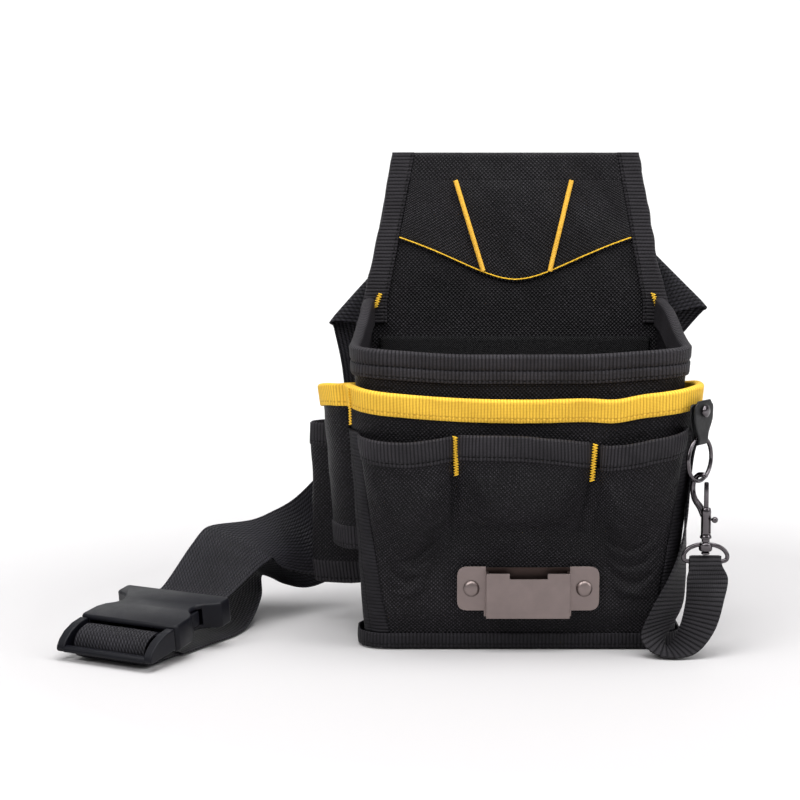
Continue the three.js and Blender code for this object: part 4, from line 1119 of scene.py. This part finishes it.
# The swivel eye: a D of wire under a round boss.
limb = [(-9.5, 0, 55.5), (-12.4, 0, 56.6), (-13, 0, 59.1), (-10.6, 0, 62.9), (-6.4, 0, 65.1), (-3, 0, 65.8)]
half_loop = [spline([Vector(p) for p in limb], k / 24) for k in range(25)]
mirrored = [Vector((-p.x, p.y, p.z)) for p in reversed(half_loop)]
bar = [Vector((x, 0, 55.5)) for x in evenly(8.5, -8.5, 12)]
pile = Pile()
loop_path = [hook_axis + p for p in half_loop + mirrored + bar]
pile.rings(tube_parts(loop_path, 1.3, 16, close=True), close=True)
BOSS = [(1.9, 62), (3.4, 62), (3.9, 62.5), (4.05, 63.2), (4.05, 65.8), (3.9, 66.5), (3.4, 67), (1.9, 67)]
pile.turned(BOSS, Matrix.Translation(hook_axis), 32)
eye = pile.add("swivel_eye_wire", gunmetal, "gunmetal", "swivel", sharp=35)
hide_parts("swivel_eye")


# ---------------------------------------------------------------- webbing
def ribbon(name, pairs, steps, thickness, material, body="pouch", curl=0.0, seed=1.0, matrix=None):
    """Webbing through pairs of edge points, with full selvedges and a slight curl across its width."""
    left = [Vector(a) for a, _ in pairs]
    right = [Vector(b) for _, b in pairs]
    columns = 12
    rings = []
    for k in range(steps + 1):
        t = k / steps
        a, b = spline(left, t), spline(right, t)
        ahead, behind = min(t + 0.002, 1), max(t - 0.002, 0)
        along = sum((spline(edge, ahead) - spline(edge, behind) for edge in (left, right)), Vector())
        normal = along.cross(b - a).normalized()
        ring = []
        for face in (1, -1):
            places = range(columns + 1) if face > 0 else range(columns, -1, -1)
            for i in places:
                s = i / columns
                rim_ease = 0.55 + 0.45 * smooth(0, 0.07, min(s, 1 - s))
                bend = curl * (bell(s) - 0.64) * wavy(t * 9, 0.5, 1.0, seed)
                ring.append(a.lerp(b, s) + normal * (face * thickness / 2 * rim_ease + bend))
        if matrix:
            ring = [matrix @ p for p in ring]
        rings.append(ring)
    width = (left[0] - right[0]).length
    across = [width * i / columns for i in range(columns + 1)]
    return loft(name, rings, material, "tape", body, around=across + across[::-1], sharp=70)


x, y = hook_axis.x, hook_axis.y
STRAP = [
    ((x - 9.4, y + 3.4, 46), (x + 9.4, y + 3.4, 46)),
    ((x - 9.4, y + 3.2, 54.5), (x + 9.4, y + 3.2, 54.5)),
    ((x - 9.4, y, 58.6), (x + 9.4, y, 58.6)),
    ((x - 9.4, y - 3.2, 54.5), (x + 9.4, y - 3.2, 54.5)),
    ((x - 11.2, y - 4, 46), (x + 13, y - 4.4, 46.5)),
    ((97.8, -59.5, 33), (119, -69.5, 34)),
    ((95.8, -56, 18.5), (113, -73, 16.5)),
    ((91.5, -54.5, 7.5), (101.5, -76, 3.8)),
    ((87, -53.8, 3.4), (88, -77.5, 2)),
    ((86.5, -54, 8), (76.5, -74.5, 4.4)),
    ((91, -52.5, 16), (70.8, -68.5, 12)),
    ((97, -48, 27), (78, -64.5, 29)),
    ((99.5, -40, 41), (87.5, -61.5, 46)),
    ((100.5, -31.5, 56), (94.4, -55, 61)),
    ((100.4, -28, 76), (98.2, -52.2, 79)),
    ((101, -25, 100), (100.4, -49, 100)),
    ((103.4, -21, 118), (102.8, -45.5, 118)),
    ((109.5, -19, 134), (107.6, -43.5, 134)),
]
BELT_LEFT = [
    ((-0.3, 48.9, 235), (-0.3, 48.9, 185)),
    ((-44, 48.9, 235), (-44, 48.9, 185)),
    ((-62, 50, 234.5), (-88, 50.5, 185.5)),
    ((-72.5, 50.6, 233), (-114.5, 51.3, 187)),
    ((-74.5, 53.6, 231.6), (-116.5, 54.3, 185.4)),
    ((-72.5, 56.6, 229.6), (-114.5, 57.4, 183.6)),
    ((-66, 58, 200), (-113, 59, 178)),
    ((-59.5, 59, 152), (-108.5, 60, 155)),
    ((-58, 60, 115), (-107, 61, 125)),
    ((-68, 61, 77), (-112, 62, 101)),
    ((-92, 61, 50), (-124, 63, 87)),
    ((-119.5, 55, 25.5), (-140, 64, 71)),
    ((-140.5, 32, 30.5), (-153, 64, 63)),
    ((-148, 26, 35), (-166, 62, 57.5)),
    ((-152, 27, 39.5), (-191, 54, 55.5)),
    ((-154, 23, 39), (-196, 49.5, 54.5)),
    ((-160, 10, 36.5), (-203.5, 33, 47)),
    ((-175.4, -19.4, 26), (-219.2, 4.8, 26)),
    ((-180.7, -28.9, 23), (-224.5, -4.7, 23)),
    ((-186.9, -40.2, 21.2), (-230.7, -16, 21.2)),
]
BELT_RIGHT = [
    ((0.3, 48.9, 235), (0.3, 48.9, 185)),
    ((46, 48.9, 236), (46, 48.9, 186)),
    ((66, 50, 238), (92, 50.5, 191)),
    ((77.5, 50.6, 238), (119.5, 51.3, 196.5)),
    ((79.5, 53.6, 236.4), (121.5, 54.3, 194.6)),
    ((77.5, 56.6, 234.4), (119.5, 57.4, 192.6)),
    ((64, 60, 204), (105, 61, 175)),
    ((40, 64, 172), (76, 65, 137)),
    ((5, 67, 140), (35, 68, 100)),
    ((-40, 70, 113), (-14, 71, 70)),
    ((-85, 72, 92), (-66, 72, 46)),
    ((-118, 75, 71), (-106, 72, 22)),
    ((-143, 77, 57), (-130, 62, 13.5)),
    ((-170, 78, 41), (-146, 48, 19)),
    ((-196, 68, 22), (-159, 38, 27)),
    ((-204, 46, 9), (-159, 24, 17)),
    ((-209, 26, 3), (-165, 3, 4)),
]
BUCKLE_AT = Vector((-242.4, -88.7, 4.2))
YAW = math.radians(-29)
TILT = math.radians(8)
BUCKLE = Matrix.Translation(BUCKLE_AT) @ Matrix.Rotation(YAW, 4, "Z") @ Matrix.Rotation(TILT, 4, "X")


def ground(along):
    centre = Vector((BUCKLE_AT.x - math.sin(YAW) * along, BUCKLE_AT.y + math.cos(YAW) * along, 1.6))
    across = Vector((math.cos(YAW), math.sin(YAW), 0))
    return tuple(centre + across * a for a in (-23, 27))


BELT_RIGHT += [ground(along) for along in (96, 80, 64, 50, 38)]
END_SIDE = [(37, -7.8), (22, -5.7), (8, -3.7), (3.6, -2), (1.9, 1.2), (2.2, 5.2), (4.1, 8.6), (7.4, 11),
            (12, 12.2), (16.8, 12.6)]
BELT_END = [((-25, y, z), (25, y, z)) for y, z in END_SIDE]

strap = ribbon("tape_strap_webbing", STRAP, 220, 1.5, strap_weave, body=None)
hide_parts("tape_strap")
left_run = ribbon("belt_left_webbing", BELT_LEFT, 320, 1.8, webbing, curl=0.8, seed=2.0)
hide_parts("belt_left_run")
right_run = ribbon("belt_right_webbing", BELT_RIGHT, 400, 1.8, webbing, curl=0.8, seed=5.0)
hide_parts("belt_right_run")
adjuster = ribbon("belt_adjuster_webbing", BELT_END, 120, 1.6, webbing, body=None, matrix=BUCKLE)
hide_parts("belt_adjuster_end")
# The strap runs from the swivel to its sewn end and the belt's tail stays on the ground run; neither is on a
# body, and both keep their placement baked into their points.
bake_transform(strap)
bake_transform(adjuster)

# ---------------------------------------------------------------- buckle
bevelled("buckle_housing", "buckle_female", acetal, width=1.1, segments=4)


def prism(pile, outline, x0, x1):
    """An outline in the buckle's y-z plane given width from x0 to x1."""
    base = len(pile.points)
    count = len(outline)
    for x in (x0, x1):
        pile.points.extend(BUCKLE @ Vector((x, y, z)) for y, z in outline)
        pile.uvs.extend(outline)
    pile.faces.append([base + i for i in range(count)])
    pile.faces.append([base + count + i for i in range(count)])
    for i in range(count):
        j = (i + 1) % count
        pile.faces.append([base + i, base + j, base + count + j, base + count + i])


def oblong(y0, y1, z0, z1):
    return [(y0, z0), (y1, z0), (y1, z1), (y0, z1)]


# The male half's frame: two rounded side arms, the end bar, the ladder bars and the prong guide.
ARM = [(-3.4, 1.6), (-4.2, 3.2), (-3.6, 5.2), (-0.8, 8.4), (4.6, 11.7), (12.5, 13.9), (21.8, 14.4),
       (21.8, 1.6)]
pile = Pile()
prism(pile, ARM, -33.7, -28.2)
prism(pile, ARM, 28.2, 33.7)
prism(pile, [(-4.2, 1.6), (-4.4, 3.4), (-3.2, 5.0), (-0.4, 5.2), (0.3, 4.0), (0.3, 1.6)], -29, 29)
prism(pile, oblong(8.5, 12, 2.2, 8.4), -29, 29)
prism(pile, oblong(18, 21.9, 3.2, 10.6), -29, 29)
prism(pile, oblong(21, 56, 5.4, 10.2), -5, 5)
for x in (-24, 16.5):
    prism(pile, oblong(21, 25, 4.2, 10.4), x, x + 7.5)
male_frame = pile.add("buckle_frame", acetal, "plastic", "male")
edges = male_frame.modifiers.new("edges", "BEVEL")
edges.width, edges.segments, edges.limit_method = 1.1 * MM, 4, "ANGLE"
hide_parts("buckle_male")
bevelled("buckle_prong_left", "prong_left", acetal, "prong_left", width=0.6)
bevelled("buckle_prong_right", "prong_right", acetal, "prong_right", width=0.6)


# ---------------------------------------------------------------- stitching
def zigzag(name, line, steps, width):
    """A bar tack: thread laid from side to side along a line of (x or distance, z) points."""
    pile = Pile()
    path = []
    for k in range(steps + 1):
        side = 1 if k % 2 else -1
        path.append(line(k / steps, side * width / 2))
    fine = []
    for a, b in zip(path, path[1:]):
        fine.extend(a.lerp(b, s / 4) for s in range(4))
    fine.append(path[-1])
    pile.rings(tube_parts(fine, 0.46, 8))
    return pile.add(name, yellow_thread, "yellow")


def on_panel(ends, heights, proud):
    """A tack's line down the outer panel, standing proud of its face."""
    def line(t, side):
        z = mix(*heights, t)
        d = mix(*ends, t) + side
        return skin(d, z, panel_face(d, z) + GAP + proud)

    return line


def on_back(x0, x1):
    """A tack's line up the back panel beside the rim."""
    y = BACK_FRONT - GAP - TAPE - 0.9
    return lambda t, side: Vector((mix(x0, x1, t) + side, y, mix(196.5, 205.5, t)))


zigzag("tack_pocket_left", on_panel((-39.8, -38.6), (131.5, 108), FABRIC + 1.2), 30, 2.8)
zigzag("tack_pocket_right", on_panel((42.6, 41.0), (127, 104.5), FABRIC + 1.2), 28, 2.8)
zigzag("tack_yellow_band", on_panel((-98.5, -98.5), (159.0, 135.5), TAPE + 0.85), 28, 2.6)
zigzag("tack_back_left", on_back(-87.4, -84.2), 12, 2.6)
zigzag("tack_back_right", on_back(89.2, 86.0), 12, 2.6)

# Lock stitches along the curved seam: the thread dips into the cloth at each needle hole.
STITCH = 3.4
run, path = 0.0, []
line = [seam_curve(u) for u in evenly(-1, 1, 800)]
for (ax, az), (bx, bz) in zip(line, line[1:]):
    dip = 0.55 * abs(math.cos(math.pi * run / STITCH)) ** 6
    path.append(bowed(ax, BACK_FRONT - GAP - TAPE - 0.85 + dip, az + 1.5))
    run += math.hypot(bx - ax, bz - az)
pile = Pile()
pile.rings(tube_parts(path, 0.42, 6))
pile.add("curved_seam_stitches", yellow_thread, "yellow")

# ---------------------------------------------------------------- floor and light
floor_mesh = bpy.data.meshes.new("floor")
steps = [(-3.0, 0.0), (1.2, 0.0)] + [(1.2 + 0.8 * math.sin(a), 0.8 - 0.8 * math.cos(a))
                                     for a in (math.pi / 2 * k / 16 for k in range(1, 17))] + [(2.0, 3.5)]
floor_mesh.from_pydata([(sx, y, z) for y, z in steps for sx in (-4, 4)], [],
                       [(2 * k, 2 * k + 1, 2 * k + 3, 2 * k + 2) for k in range(len(steps) - 1)])
floor_mesh.polygons.foreach_set("use_smooth", [True] * len(floor_mesh.polygons))
# Painted light falloff: the floor's colour is darker near the bag, where the lamps' pool of light is
# brightest, and paler further off, where their light fades.
paper = Shader("paper_with_painted_falloff", Roughness=0.75)
across, deep, _ = paper.axes(paper.coords("Object"))
far = paper.math("SQRT", paper.math("ADD", paper.math("POWER", across, 2.0), paper.math("POWER", deep, 2.0)))
painted_falloff = paper.span(far, 0.3, 0.95)
paper_colour = paper.blend(painted_falloff, (0.50, 0.49, 0.495), (0.95, 0.95, 0.95))
floor_mesh.materials.append(paper.finish(Base_Color=paper_colour))
floor = bpy.data.objects.new("floor", floor_mesh)
bpy.context.scene.collection.objects.link(floor)

# Soft light from above and behind, darker towards the horizon.
world = bpy.data.worlds.new("studio")
world.use_nodes = True
sky = world.node_tree
direction = sky.nodes.new("ShaderNodeTexCoord")
split = sky.nodes.new("ShaderNodeSeparateXYZ")
ramp = sky.nodes.new("ShaderNodeValToRGB")
ramp.color_ramp.elements[0].position, ramp.color_ramp.elements[0].color = 0.05, (0.16, 0.16, 0.17, 1)
ramp.color_ramp.elements[1].position, ramp.color_ramp.elements[1].color = 0.75, (1, 1, 1, 1)
sky.links.new(direction.outputs["Generated"], split.inputs[0])
sky.links.new(split.outputs[2], ramp.inputs[0])
sky.links.new(ramp.outputs[0], sky.nodes["Background"].inputs["Color"])
sky.nodes["Background"].inputs["Strength"].default_value = 0.85
bpy.context.scene.world = world


def area_light(name, place, target, size, power):
    light = bpy.data.lights.new(name, "AREA")
    light.shape = "RECTANGLE"
    light.size, light.size_y = size
    light.energy = power
    lamp = bpy.data.objects.new(name, light)
    lamp.location = place
    lamp.rotation_euler = (Vector(target) - Vector(place)).to_track_quat("-Z", "Y").to_euler()
    bpy.context.scene.collection.objects.link(lamp)


area_light("key", (-1.0, -1.0, 1.3), (0, 0, 0.12), (0.9, 0.9), 13)
area_light("fill", (1.3, -0.6, 0.8), (0, 0, 0.12), (0.7, 1.0), 8)
area_light("top", (0.1, -0.25, 1.6), (0, 0, 0.1), (1.4, 1.2), 29)
